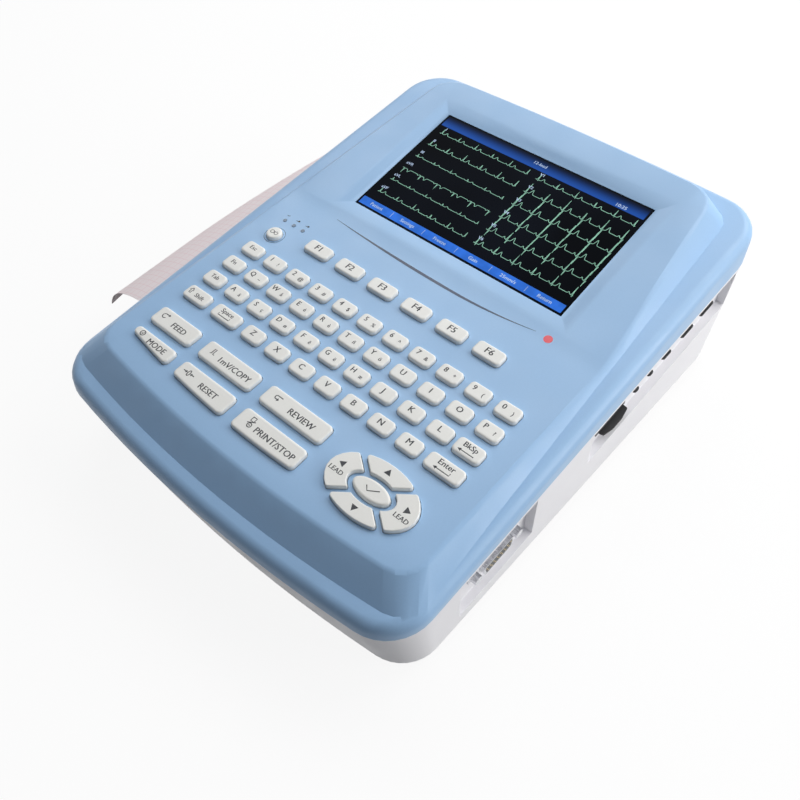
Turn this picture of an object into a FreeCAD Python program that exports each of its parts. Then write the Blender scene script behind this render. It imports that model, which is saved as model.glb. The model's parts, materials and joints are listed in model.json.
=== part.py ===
import FreeCAD, Part
import math
import os
import re

import Sketcher

Vector = FreeCAD.Vector

# Driving dimensions in millimetres and degrees.
# The deck is the flat keyboard face. Deck coordinates have their origin at the middle of the case on that
# face: X to the operator's right, Y to the back, Z square to the face. The deck leans back by deck_tilt.
DIMENSIONS = {
    # Case
    "case_width": 260.0,
    "case_front": 175.2,
    "case_back": 171.5,
    "front_bow": 880.0,
    "back_bow": 2400.0,
    "corner_radius": 27.0,
    "corner_flats": 8,
    "roll_steps": 4,
    "wall": 2.5,
    "deck_tilt": 6.0,
    "deck_height": 86.0,
    "case_shift": 29.6,
    "case_set_back": -0.2,
    "parting_drop": 19.5,
    "rim_drop": 3.2,
    "rim_tilt": 2.6,
    "rim_round": 6.5,
    "crown_side": 13.7,
    "crown_slope": 1.0,
    "crown_front": 26.5,
    "crown_front_slope": 1.45,
    "crown_back": 12.9,
    "crown_back_slope": 0.27,
    "crown_corner": 16.0,
    "crown_flats": 4,
    "crown_foot": -11.0,
    "crown_edge": 1.6,
    "wedge_start": 12.0,
    "wedge_tilt": 6.5,
    "bend_ease": 6.0,
    "foot_height": 4.0,
    "base_side_draft": 1.5,
    "base_front": 161.0,
    "base_back": 163.0,
    "base_corner": 23.0,
    "base_edge": 3.0,
    # Display
    "view_width": 152.4,
    "view_depth": 91.4,
    "view_middle": 66.0,
    "window_border": 1.6,
    "window_thick": 2.0,
    "recess_depth": 3.0,
    "recess_bevel": 10.0,
    "lcd_border": 7.0,
    "lcd_thick": 7.0,
    # Keys
    "key_pitch": 19.0,
    "row_pitch": 15.3,
    "key_left": -95.0,
    "number_row": -40.0,
    "lower_row": -86.1,
    "lower_left": -44.8,
    "key_width": 14.0,
    "key_depth": 9.8,
    "key_corner": 2.2,
    "key_proud": 2.5,
    "key_chamfer": 0.6,
    "key_clear": 0.35,
    "flange_lip": 0.9,
    "flange_thick": 1.0,
    "flange_gap": 0.3,
    "shift_width": 18.4,
    "shift_middle": -92.2,
    "space_width": 20.2,
    "space_middle": -67.3,
    "enter_width": 22.0,
    "enter_middle": 91.4,
    "backspace_width": 16.6,
    "backspace_middle": 94.2,
    "soft_width": 18.4,
    "soft_pitch": 25.5,
    "soft_left": -63.3,
    "soft_row": -15.8,
    "power_left": -95.4,
    "power_row": -22.1,
    "power_radius": 5.0,
    "upper_bank_row": -109.0,
    "upper_bank_depth": 12.5,
    "lower_bank_back": -121.2,
    "lower_bank_depth": 14.6,
    "bank_bow": 600.0,
    "bank_front": 135.0,
    "feed_left": -100.8,
    "feed_width": 33.0,
    "calibrate_left": -59.7,
    "calibrate_width": 41.0,
    "review_left": -10.6,
    "review_width": 44.6,
    "nav_middle": 72.4,
    "nav_row": -117.5,
    "nav_long": 27.3,
    "nav_short": 17.0,
    "nav_inner_long": 14.6,
    "nav_inner_short": 7.8,
    "confirm_long": 11.4,
    "confirm_short": 5.3,
    "nav_gap": 2.8,
    "nav_angle": 37.0,
    "nav_flats": 32,
    "lens_radius": 1.3,
    # Boards behind the keys
    "mat_thick": 1.0,
    "mat_drop": 6.0,
    "mat_half": 108.0,
    "mat_front": -139.0,
    "mat_back": -5.0,
    "mat_rail": 2.0,
    "dome_width": 6.0,
    "dome_depth": 5.0,
    "dome_height": 0.7,
    "board_thick": 1.6,
    # Lower case
    "far_below": -120.0,
    "recess_roof": 2.5,
    "recess_run": 8.0,
    "lead_recess_front": -121.0,
    "lead_recess_back": -60.0,
    "lead_recess_floor": -57.5,
    "port_recess_front": -10.0,
    "port_recess_back": 141.0,
    "port_recess_floor": -50.0,
    "rail_offset": 100.0,
    "rail_length": 150.0,
    "rail_thick": 3.0,
    "rail_gap": 0.3,
    "post_depth": 5.0,
    "post_radius": 3.0,
    "boss_half": 4.0,
    "boss_drop": 4.5,
    "pilot_radius": 1.55,
    "well_radius": 4.7,
    "bore_radius": 3.2,
    "pass_radius": 1.7,
    "seat_thick": 4.0,
    "screw_radius": 1.5,
    "screw_length": 14.0,
    "head_radius": 2.8,
    "head_thick": 2.0,
    "foot_radius": 7.0,
    "bay_left": -65.0,
    "bay_front": 20.0,
    "bay_width": 100.0,
    "bay_depth": 90.0,
    "bay_top": 28.0,
    "bay_wall": 3.0,
    "door_lap": 1.0,
    "battery_height": 20.0,
    "speaker_across": -60.0,
    "speaker_row": -128.0,
    "speaker_radius": 18.0,
    "slot_pitch": 4.5,
    "slot_width": 2.0,
    "slot_length": 24.0,
    # Recorder
    "recorder_middle": 5.0,
    "paper_width": 210.0,
    "paper_thick": 0.25,
    "paper_gap": 0.3,
    "paper_reach": 58.0,
    "paper_back_reach": 14.0,
    "paper_fall": 35.0,
    "platen_across": -113.0,
    "platen_drop": 31.0,
    "platen_radius": 8.0,
    "platen_length": 212.0,
    "shaft_radius": 3.0,
    "running_gap": 0.05,
    "tray_front": -127.0,
    "tray_back": 48.0,
    "tray_face_wall": 4.5,
    "drawer_floor": -57.0,
    "drawer_top": -26.0,
    "drawer_half": 110.0,
    "drawer_wall": 2.0,
    "panel_top": -23.0,
    "panel_bottom": -58.5,
    "panel_front": -116.0,
    "panel_back": 124.0,
    "panel_gap": 0.4,
    "divider_across": -99.0,
    "divider_height": 20.0,
    "grip_width": 60.0,
    "grip_height": 11.0,
    "grip_row": -53.5,
    "grip_across": -122.0,
    "pack_length": 140.0,
    "pack_left": -96.5,
    "pack_top": -29.5,
    "gear_module": 0.8,
    "gear_face": 6.0,
    "gear_start": 112.5,
    "platen_teeth": 20.0,
    "idler_teeth": 30.0,
    "pinion_teeth": 12.0,
    "frame_sheet": 1.5,
    "frame_left": -122.0,
    "frame_top": -14.5,
    "frame_foot": -57.0,
    "front_leg": 24.0,
    "back_leg": 66.0,
    "idler_pin": 2.0,
    "motor_shaft": 1.5,
    "motor_radius": 17.5,
    "motor_length": 22.0,
    "head_width": 16.0,
    "head_ceramic": 1.2,
    "head_sink": 3.8,
    "leaf_thick": 0.5,
    "leaf_half": 60.0,
    "leaf_width": 10.0,
    # Electronics
    "main_left": 54.0,
    "main_width": 66.0,
    "main_front": -114.0,
    "main_depth": 240.0,
    "main_level": -50.0,
    "power_board_left": -46.0,
    "power_board_width": 96.0,
    "power_board_front": 122.0,
    "power_board_depth": 30.0,
    "power_level": -60.0,
    # Sockets
    "recess_face": 124.0,
    "lead_row": -89.8,
    "lead_drop": -38.2,
    "jack_spacing": 33.3,
    "card_row": 18.9,
    "card_drop": -41.8,
    "port_drop": -29.0,
    "signal_row": 47.5,
    "signal_spacing": 15.0,
    "signal_radius": 3.1,
    "signal_bore": 1.8,
    "small_port_row": 72.5,
    "host_port_row": 95.5,
    "network_row": 118.3,
    "inlet_across": 10.0,
    "inlet_height": 26.0,
    "inlet_face": 167.5,
    "flange_plate": 2.5,
    "flange_width": 50.0,
    "flange_height": 28.0,
    "inlet_width": 40.0,
    "inlet_tall": 24.0,
    "inlet_depth": 23.0,
    "inlet_pad": 7.0,
    "stud_across": 70.0,
    "stud_height": 20.0,
    "stud_radius": 3.0,
    "stud_end": 172.0,
    "stud_length": 16.0,
    "collar_radius": 5.8,
    "collar_length": 8.0,
}

DOC = FreeCAD.newDocument("ecg_machine")
SHEET = DOC.addObject("Spreadsheet::Sheet", "Dimensions")
for line, (alias, number) in enumerate(DIMENSIONS.items(), start=1):
    SHEET.set(f"A{line}", alias)
    SHEET.set(f"B{line}", str(number))
    SHEET.setAlias(f"B{line}", alias)
DOC.recompute()

NODES = []


def dim(alias):
    """Read one driving dimension back from the sheet."""
    return float(SHEET.get(alias))


def bind(item, target, text):
    """Tie a property to an expression on the sheet's named cells."""
    def cell(word):
        return f"Dimensions.{word.group()}" if word.group() in DIMENSIONS else word.group()

    item.setExpression(target, re.sub(r"[a-z][a-z_]+", cell, str(text)))


def move(item, corner):
    """Tie an object's place to three expressions."""
    for axis, text in zip("xyz", corner):
        bind(item, f"Placement.Base.{axis}", text)
    return item


def block(name, size, corner):
    """Rectangular solid from a low corner."""
    solid = DOC.addObject("Part::Box", name)
    for side, text in zip(("Length", "Width", "Height"), size):
        bind(solid, side, text)
    return move(solid, corner)


AXIS_TURNS = {
    "x": FreeCAD.Rotation(Vector(0, 1, 0), 90),
    "y": FreeCAD.Rotation(Vector(1, 0, 0), -90),
    "z": FreeCAD.Rotation(),
}


def rod(name, radius, length, start, axis="z"):
    """Cylinder that runs from its start point along one axis."""
    solid = DOC.addObject("Part::Cylinder", name)
    bind(solid, "Radius", radius)
    bind(solid, "Height", length)
    solid.Placement = FreeCAD.Placement(Vector(), AXIS_TURNS[axis])
    return move(solid, start)


def prism(name, flats, radius, length, start, axis="z"):
    """Rod with flat sides, for small round pieces that repeat or lie hidden."""
    solid = DOC.addObject("Part::Prism", name)
    solid.Polygon = flats
    bind(solid, "Circumradius", radius)
    bind(solid, "Height", length)
    solid.Placement = FreeCAD.Placement(Vector(), AXIS_TURNS[axis])
    return move(solid, start)


def fuse(name, pieces):
    """Union of several solids."""
    union = DOC.addObject("Part::MultiFuse", name)
    union.Shapes = pieces
    return union


def cut(name, base, tool, refine=True):
    """Base with a tool taken away. Refining joins faces that continue each other."""
    result = DOC.addObject("Part::Cut", name)
    result.Base = base
    result.Tool = tool
    result.Refine = refine
    return result


def common(name, first, second):
    """What two solids share."""
    result = DOC.addObject("Part::Common", name)
    result.Base = first
    result.Tool = second
    return result


def group(name, pieces):
    """Several separate solids kept together."""
    result = DOC.addObject("Part::Compound", name)
    result.Links = pieces
    return result


def formed(name, shape):
    """A solid whose form no primitive gives."""
    result = DOC.addObject("Part::Feature", name)
    result.Shape = shape
    return result


def lean(item, tilt, base):
    """Turn an object about X by an angle from the sheet and set it at a bound place."""
    item.Placement = FreeCAD.Placement(Vector(), FreeCAD.Rotation(Vector(1, 0, 0), 1.0))
    bind(item, "Placement.Rotation.Angle", tilt)
    return move(item, base)


def joined(name, pieces):
    """One solid from pieces that meet or overlap."""
    return fuse(name, pieces) if len(pieces) > 1 else group(name, pieces)


def on_deck(name, pieces):
    """Solid drawn in deck coordinates, set on the leaning deck."""
    return lean(joined(name, pieces), "deck_tilt", ("0", "0", "deck_height"))


def on_wedge(name, pieces):
    """Solid drawn on the display's sloping face, set in deck coordinates."""
    return lean(joined(name, pieces), "wedge_tilt", ("0", "wedge_start", "0"))


def deck_node(label, pieces):
    """Named sub-part drawn in deck coordinates."""
    part = lean(group(label, pieces), "deck_tilt", ("case_shift", "case_set_back", "deck_height"))
    part.Label = label
    NODES.append(part)


def table_node(label, pieces):
    """Named sub-part drawn in table coordinates, with the case's middle at X = 0."""
    part = move(group(label, pieces), ("case_shift", "case_set_back", "0"))
    part.Label = label
    NODES.append(part)


def deck_placement():
    """The deck's lean and height as a placement."""
    turn = FreeCAD.Rotation(Vector(1, 0, 0), dim("deck_tilt"))
    return FreeCAD.Placement(Vector(0, 0, dim("deck_height")), turn)


# Case outline and shells

def at_angle(centre, radius, angle):
    """Point on a circle in the level plane of its centre, at an angle in degrees."""
    turn = math.radians(angle)
    return centre + Vector(math.cos(turn), math.sin(turn), 0) * radius


def arc(centre, radius, first, last):
    """Circular edge between two angles in degrees."""
    angles = (first, (first + last) / 2, last)
    return Part.Arc(*[at_angle(centre, radius, angle) for angle in angles]).toShape()


def flats(centre, radius, first, last, count):
    """The same turn as an arc in a few equal flats, for the case's corners."""
    points = [at_angle(centre, radius, first + (last - first) * step / count) for step in range(count + 1)]
    return [Part.LineSegment(start, end).toShape() for start, end in zip(points, points[1:])]


def case_outline(half_width, front, back, corner, height, alias="corner_flats"):
    """Closed outline of the case from above: straight sides, bowed ends and tangent corners."""
    front_bow, back_bow = dim("front_bow"), dim("back_bow")
    count = int(dim(alias))
    across = half_width - corner
    front_middle = Vector(0, front_bow - front, height)
    back_middle = Vector(0, back - back_bow, height)
    front_swing = math.degrees(math.asin(across / (front_bow - corner)))
    back_swing = math.degrees(math.asin(across / (back_bow - corner)))
    front_corner = front_middle.y - math.cos(math.radians(front_swing)) * (front_bow - corner)
    back_corner = back_middle.y + math.cos(math.radians(back_swing)) * (back_bow - corner)
    edges = [
        arc(front_middle, front_bow, -90 - front_swing, -90 + front_swing),
        *flats(Vector(across, front_corner, height), corner, -90 + front_swing, 0, count),
        Part.LineSegment(Vector(half_width, front_corner, height),
                         Vector(half_width, back_corner, height)).toShape(),
        *flats(Vector(across, back_corner, height), corner, 0, 90 - back_swing, count),
        arc(back_middle, back_bow, 90 - back_swing, 90 + back_swing),
        *flats(Vector(-across, back_corner, height), corner, 90 + back_swing, 180, count),
        Part.LineSegment(Vector(-half_width, back_corner, height),
                         Vector(-half_width, front_corner, height)).toShape(),
        *flats(Vector(-across, front_corner, height), corner, 180, 270 - front_swing, count),
    ]
    return Part.Wire(edges)


def edges_at(shape, height):
    """Edges of a shape that lie in one level plane."""
    return [edge for edge in shape.Edges if all(abs(v.Z - height) < 1e-4 for v in edge.Vertexes)]


def rim_solid(inset, low, drop, rounding, steps):
    """Slab of the cover's rim: level below, rising to the back above, with its top edge rolled over."""
    def outline(extra, height):
        """Outline of the rim at one height, drawn in by the roll."""
        shrink = inset + extra
        return case_outline(dim("case_width") / 2 - shrink, dim("case_front") - shrink,
                            dim("case_back") - shrink, dim("corner_radius") - shrink, height)

    sections = [outline(0.0, low)]
    for step in range(steps + 1):
        turn = math.pi / 2 * step / steps
        section = outline(rounding * (1 - math.cos(turn)), -drop - rounding * (1 - math.sin(turn)))
        section.rotate(Vector(0, 0, -drop), Vector(1, 0, 0), dim("rim_tilt"))
        sections.append(section)
    return Part.makeLoft(sections, True, True)


def crown_outline(inset, height):
    """Outline of the raised keyboard and display block at one height above the deck."""
    side = dim("crown_side") + dim("crown_slope") * height + inset
    front = dim("crown_front") + dim("crown_front_slope") * height + inset
    back = dim("crown_back") + dim("crown_back_slope") * height + inset
    return case_outline(dim("case_width") / 2 - side, dim("case_front") - front,
                        dim("case_back") - back, dim("crown_corner") - inset, height, "crown_flats")


def crown_solid(inset, foot, sink, edge_cut):
    """Raised block with sloping flanks, flat over the keys and tilted up under the display."""
    low, high = foot, 26.0
    flanks = Part.makeLoft([crown_outline(inset, low), crown_outline(inset, high)], True, True)
    reach = dim("case_width")
    tilt = math.radians(dim("wedge_tilt"))
    slope = Vector(0, math.cos(tilt), math.sin(tilt))
    bend = Vector(-reach, dim("wedge_start"), -sink)
    ease = dim("bend_ease")
    ease_start, ease_end = bend - Vector(0, ease, 0), bend + slope * ease
    ease_middle = bend + (slope - Vector(0, 1, 0)) * (ease / 4)
    corners = [
        ease_end,
        bend + slope * reach,
        Vector(-reach, reach, low),
        Vector(-reach, -reach, low),
        Vector(-reach, -reach, -sink),
        ease_start,
    ]
    crease = Part.Arc(ease_start, ease_middle, ease_end).toShape()
    profile = Part.Wire([*Part.makePolygon(corners).Edges, crease])
    raised = flanks.common(Part.Face(profile).extrude(Vector(2 * reach, 0, 0)))
    if not edge_cut:
        return raised
    top = []
    for edge in raised.Edges:
        box = edge.BoundBox
        across_deck = box.YLength < 1e-3 and box.ZLength < 1e-3
        if box.ZMin > -sink - 1.0 and not across_deck:
            top.append(edge)
    return raised.makeChamfer(edge_cut, top)


def base_loft(inset, low, raise_top):
    """Lower case between the leaning parting face and the level underside, with a bevelled bottom edge."""
    half_width, edge = dim("case_width") / 2, dim("base_edge")
    top = case_outline(half_width - inset, dim("case_front") - inset, dim("case_back") - inset,
                       dim("corner_radius") - inset, -dim("parting_drop") + raise_top)
    top.Placement = deck_placement()
    sections = [top]
    for level, shrink in ((low + edge, inset), (low, inset + edge)):
        sections.append(case_outline(half_width - dim("base_side_draft") - shrink, dim("base_front") - shrink,
                                     dim("base_back") - shrink, dim("base_corner") - shrink, level))
    return Part.makeLoft(sections[::-1], True, True)


# Keys

KEY_LOW = "-wall - flange_gap"
FLANGE_LOW = "-wall - flange_gap - flange_thick"


def cornered_rectangle(sketch, width, depth, corner):
    """Centred rectangle with its corners cut, driven by three named cells."""
    right, top, cut_back = dim(width) / 2, dim(depth) / 2, dim(corner)
    inner_right, inner_top = right - cut_back, top - cut_back
    points = [(-inner_right, top), (inner_right, top), (right, inner_top), (right, -inner_top),
              (inner_right, -top), (-inner_right, -top), (-right, -inner_top), (-right, inner_top)]
    count = len(points)
    for index, start in enumerate(points):
        end = points[(index + 1) % count]
        sketch.addGeometry(Part.LineSegment(Vector(*start, 0), Vector(*end, 0)))
    for index in range(count):
        sketch.addConstraint(Sketcher.Constraint("Coincident", index, 2, (index + 1) % count, 1))
    for index in range(count // 2):
        sketch.addConstraint(Sketcher.Constraint("Symmetric", index, 1, index + count // 2, 1, -1, 1))
    sketch.addConstraint(Sketcher.Constraint("Horizontal", 0))
    sketch.addConstraint(Sketcher.Constraint("Vertical", 2))
    sizes = (
        ("across", Sketcher.Constraint("DistanceX", 6, 1, 2, 1, 2 * right), width),
        ("along", Sketcher.Constraint("DistanceY", 4, 1, 0, 1, 2 * top), depth),
        ("back_cut_across", Sketcher.Constraint("DistanceX", 1, 1, 1, 2, cut_back), corner),
        ("back_cut_along", Sketcher.Constraint("DistanceY", 1, 2, 1, 1, cut_back), corner),
        ("front_cut_across", Sketcher.Constraint("DistanceX", 3, 2, 3, 1, cut_back), corner),
        ("front_cut_along", Sketcher.Constraint("DistanceY", 3, 2, 3, 1, cut_back), corner),
    )
    for title, constraint, alias in sizes:
        sketch.renameConstraint(sketch.addConstraint(constraint), title)
        bind(sketch, f"Constraints.{title}", alias)


def plane_of(body, role):
    """One of a body's own origin planes."""
    return next(item for item in body.Origin.OriginFeatures if item.Role == role)


def key_body(name, width, depth):
    """Moulded key cap with cut corners, a softened top and a retaining flange under the deck."""
    body = DOC.addObject("PartDesign::Body", name)
    outline = body.newObject("Sketcher::SketchObject", f"{name}_outline")
    outline.AttachmentSupport = (plane_of(body, "XY_Plane"), [""])
    outline.MapMode = "FlatFace"
    cornered_rectangle(outline, width, depth, "key_corner")
    bind(outline, "AttachmentOffset.Base.z", FLANGE_LOW)
    stem = body.newObject("PartDesign::Pad", f"{name}_stem")
    stem.Profile = outline
    bind(stem, "Length", "key_proud + wall + flange_gap + flange_thick")
    DOC.recompute()
    softened = body.newObject("PartDesign::Chamfer", f"{name}_top_edge")
    top_names = [f"Edge{index}" for index, edge in enumerate(stem.Shape.Edges, start=1)
                 if all(abs(v.Z - dim("key_proud")) < 1e-4 for v in edge.Vertexes)]
    softened.Base = (stem, top_names)
    bind(softened, "Size", "key_chamfer")
    body.Tip = softened
    flange_size = (f"{width} + 2 * flange_lip", f"{depth} + 2 * flange_lip", "flange_thick")
    flange_corner = (f"-{width} / 2 - flange_lip", f"-{depth} / 2 - flange_lip", FLANGE_LOW)
    flange = block(f"{name}_flange", flange_size, flange_corner)
    return fuse(f"{name}_cap", [body, flange])


def placed(name, source, x, y):
    """A copy of a key at its place on the deck."""
    link = DOC.addObject("App::Link", name)
    link.LinkedObject = source
    return move(link, (x, y, "0"))


def aperture(name, width, depth, x, y):
    """Clearance opening through the deck round a rectangular key."""
    return block(name, (f"{width} + 2 * key_clear", f"{depth} + 2 * key_clear", "3 * wall"),
                 (f"{x} - {width} / 2 - key_clear", f"{y} - {depth} / 2 - key_clear", "-2 * wall"))


def bank_block(name, left, width, back, depth, grow, low, high):
    """Rounded block for a wide function key, grown on all sides for its opening."""
    solid = block(f"{name}_block", (f"{width} + 2 * {grow}", f"{depth} + 2 * {grow}", f"{high} - ({low})"),
                  (f"{left} - {grow}", f"{back} - {depth} - {grow}", low))
    bow = rod(f"{name}_bow", f"bank_bow + {grow}", f"{high} - ({low})", ("0", "bank_bow - bank_front", low))
    return common(f"{name}_outline", solid, bow)


def softened_top(name, cap):
    """A key cap with the edges of its top face bevelled."""
    result = DOC.addObject("Part::Chamfer", name)
    result.Base = cap
    soft, proud = dim("key_chamfer"), dim("key_proud")
    top = [index for index, edge in enumerate(cap.Shape.Edges, start=1)
           if all(abs(vertex.Z - proud) < 1e-4 for vertex in edge.Vertexes)]
    result.Edges = [(index, soft, soft) for index in top]
    return result


def bank_key(name, left, width, back, depth):
    """Wide function key: the front ones follow the bow of the case's front edge."""
    cap = bank_block(f"{name}_cap", left, width, back, depth, "0", FLANGE_LOW, "key_proud")
    flange = bank_block(f"{name}_flange", left, width, back, depth, "flange_lip", FLANGE_LOW, KEY_LOW)
    DOC.recompute()
    cornered = DOC.addObject("Part::Chamfer", f"{name}_cornered")
    cornered.Base = cap
    upright = [index for index, edge in enumerate(cap.Shape.Edges, start=1) if edge.BoundBox.ZLength > 1.0]
    cornered.Edges = [(index, dim("key_corner"), dim("key_corner")) for index in upright]
    DOC.recompute()
    softened = softened_top(f"{name}_softened", cornered)
    opening = bank_block(f"{name}_opening", left, width, back, depth, "key_clear", "-2 * wall", "wall")
    return fuse(f"{name}_solid", [softened, flange]), opening


def ellipse_prism(long_half, short_half, low, high):
    """Upright prism on an ellipse, in equal flats, at the navigation pad's middle."""
    count = int(dim("nav_flats"))
    points = []
    for step in range(count + 1):
        turn = 2 * math.pi * (step + 0.5) / count
        points.append(Vector(dim("nav_middle") + long_half * math.cos(turn),
                             dim("nav_row") + short_half * math.sin(turn), low))
    return Part.Face(Part.makePolygon(points)).extrude(Vector(0, 0, high - low))


def nav_sectors(grow, low, high):
    """Four ring sectors of the navigation pad, in the order up, left, down, right."""
    ring = ellipse_prism(dim("nav_long") + grow, dim("nav_short") + grow, low, high)
    ring = ring.cut(ellipse_prism(dim("nav_inner_long") - grow, dim("nav_inner_short") - grow, low, high))
    gap = dim("nav_gap") - 2 * grow
    reach = 2 * dim("nav_long")
    middle = Vector(dim("nav_middle"), dim("nav_row"), low)
    for angle in (dim("nav_angle"), -dim("nav_angle")):
        bar = Part.makeBox(2 * reach, gap, high - low, Vector(-reach, -gap / 2, 0))
        bar.Placement = FreeCAD.Placement(middle, FreeCAD.Rotation(Vector(0, 0, 1), angle))
        ring = ring.cut(bar)
    sides = [Vector(0, 1, 0), Vector(-1, 0, 0), Vector(0, -1, 0), Vector(1, 0, 0)]
    return [max(ring.Solids, key=lambda solid: (solid.CenterOfMass - middle).dot(side)) for side in sides]


def nav_key(cap, flange):
    """Navigation key: a cap with its top edge softened, on a wider flange."""
    top = edges_at(cap, dim("key_proud"))
    return cap.makeChamfer(dim("key_chamfer"), top).fuse(flange).removeSplitter()


def make_keys():
    """All keys as nodes. Returns the openings that the deck needs for them."""
    openings = []
    letter = key_body("letter_key", "key_width", "key_depth")
    rows = (
        ("number_row_keys", "number_row", "key_left", 11),
        ("upper_row_keys", "number_row - row_pitch", "key_left", 11),
        ("middle_row_keys", "number_row - 2 * row_pitch", "key_left", 10),
        ("lower_row_keys", "lower_row", "lower_left", 7),
    )
    for label, row, left, count in rows:
        keys = []
        for index in range(count):
            x = f"{left} + {index} * key_pitch"
            keys.append(placed(f"{label}_{index}", letter, x, row))
            openings.append(aperture(f"{label}_opening_{index}", "key_width", "key_depth", x, row))
        deck_node(label, keys)
    wide = (
        ("shift_key", "shift_width", "shift_middle", "lower_row"),
        ("space_key", "space_width", "space_middle", "lower_row"),
        ("enter_key", "enter_width", "enter_middle", "lower_row"),
        ("backspace_key", "backspace_width", "backspace_middle", "number_row - 2 * row_pitch"),
    )
    for label, width, x, row in wide:
        cap = key_body(f"{label}_body", width, "key_depth")
        deck_node(label, [placed(f"{label}_placed", cap, x, row)])
        openings.append(aperture(f"{label}_opening", width, "key_depth", x, row))
    soft = key_body("soft_key_body", "soft_width", "key_depth")
    for index in range(6):
        x = f"soft_left + {index} * soft_pitch"
        deck_node(f"soft_key_{index + 1}", [placed(f"soft_key_{index + 1}_placed", soft, x, "soft_row")])
        openings.append(aperture(f"soft_key_opening_{index + 1}", "soft_width", "key_depth", x, "soft_row"))
    banks = (
        ("feed_key", "feed_left", "feed_width", "upper"),
        ("calibrate_key", "calibrate_left", "calibrate_width", "upper"),
        ("review_key", "review_left", "review_width", "upper"),
        ("mode_key", "feed_left", "feed_width", "lower"),
        ("reset_key", "calibrate_left", "calibrate_width", "lower"),
        ("print_key", "review_left", "review_width", "lower"),
    )
    bank_rows = {
        "upper": ("upper_bank_row + upper_bank_depth / 2", "upper_bank_depth"),
        "lower": ("lower_bank_back", "lower_bank_depth"),
    }
    for label, left, width, bank in banks:
        solid, opening = bank_key(label, left, width, *bank_rows[bank])
        deck_node(label, [solid])
        openings.append(opening)
    power_place = ("power_left", "power_row")
    power_cap = prism("power_cap", 24, "power_radius", f"key_proud - ({FLANGE_LOW})",
                      (*power_place, FLANGE_LOW))
    power_flange = prism("power_flange", 24, "power_radius + flange_lip", "flange_thick",
                         (*power_place, FLANGE_LOW))
    DOC.recompute()
    power_soft = softened_top("power_soft", power_cap)
    deck_node("power_key", [fuse("power_solid", [power_soft, power_flange])])
    openings.append(prism("power_opening", 24, "power_radius + key_clear", "3 * wall",
                          (*power_place, "-2 * wall")))
    stem_low = -dim("wall") - dim("flange_gap") - dim("flange_thick")
    flange_high = -dim("wall") - dim("flange_gap")
    caps = nav_sectors(0.0, stem_low, dim("key_proud"))
    flanges = nav_sectors(dim("flange_lip"), stem_low, flange_high)
    holes = nav_sectors(dim("key_clear"), -2 * dim("wall"), dim("wall"))
    for side, cap, flange, hole in zip(("up", "left", "down", "right"), caps, flanges, holes):
        deck_node(f"nav_{side}_key", [formed(f"nav_{side}_solid", nav_key(cap, flange))])
        openings.append(formed(f"nav_{side}_opening", hole))
    confirm = [ellipse_prism(dim("confirm_long") + grow, dim("confirm_short") + grow, low, high)
               for grow, low, high in ((0.0, stem_low, dim("key_proud")),
                                       (dim("flange_lip"), stem_low, flange_high),
                                       (dim("key_clear"), -2 * dim("wall"), dim("wall")))]
    deck_node("confirm_key", [formed("confirm_solid", nav_key(confirm[0], confirm[1]))])
    openings.append(formed("confirm_opening", confirm[2]))
    return openings


# Cover and display

LENS_PLACES = (("-99.8", "-8.9"), ("-92.0", "-8.9"), ("-84.2", "-8.9"))
# Across, along and the height of the boss's top
SCREW_PLACES = (("-119", "-128", "-3"), ("119", "-128", "-3"),
                ("-112", "138", "4"), ("112", "138", "4"))


def display_box(name, half_border, low, high):
    """Block round the middle of the display, on the sloping face."""
    size = (f"view_width + 2 * ({half_border})", f"view_depth + 2 * ({half_border})", f"{high} - ({low})")
    left, front = f"-view_width / 2 - ({half_border})", f"view_middle - view_depth / 2 - ({half_border})"
    return block(name, size, (left, front, low))


def display_recess():
    """Bevelled recess that narrows from the sloping face down to the window."""
    border, bevel, depth = dim("window_border"), dim("recess_bevel"), dim("recess_depth")
    above = 0.6
    outlines = []
    for grow, level in ((border, -depth), (border + bevel * (depth + above) / depth, above)):
        half_width = dim("view_width") / 2 + grow
        low = dim("view_middle") - dim("view_depth") / 2 - grow
        high = dim("view_middle") + dim("view_depth") / 2 + grow
        ring = [Vector(-half_width, low, level), Vector(half_width, low, level),
                Vector(half_width, high, level), Vector(-half_width, high, level)]
        outlines.append(Part.makePolygon(ring + ring[:1]))
    return formed("display_recess", Part.makeLoft(outlines, True, True))


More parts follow.
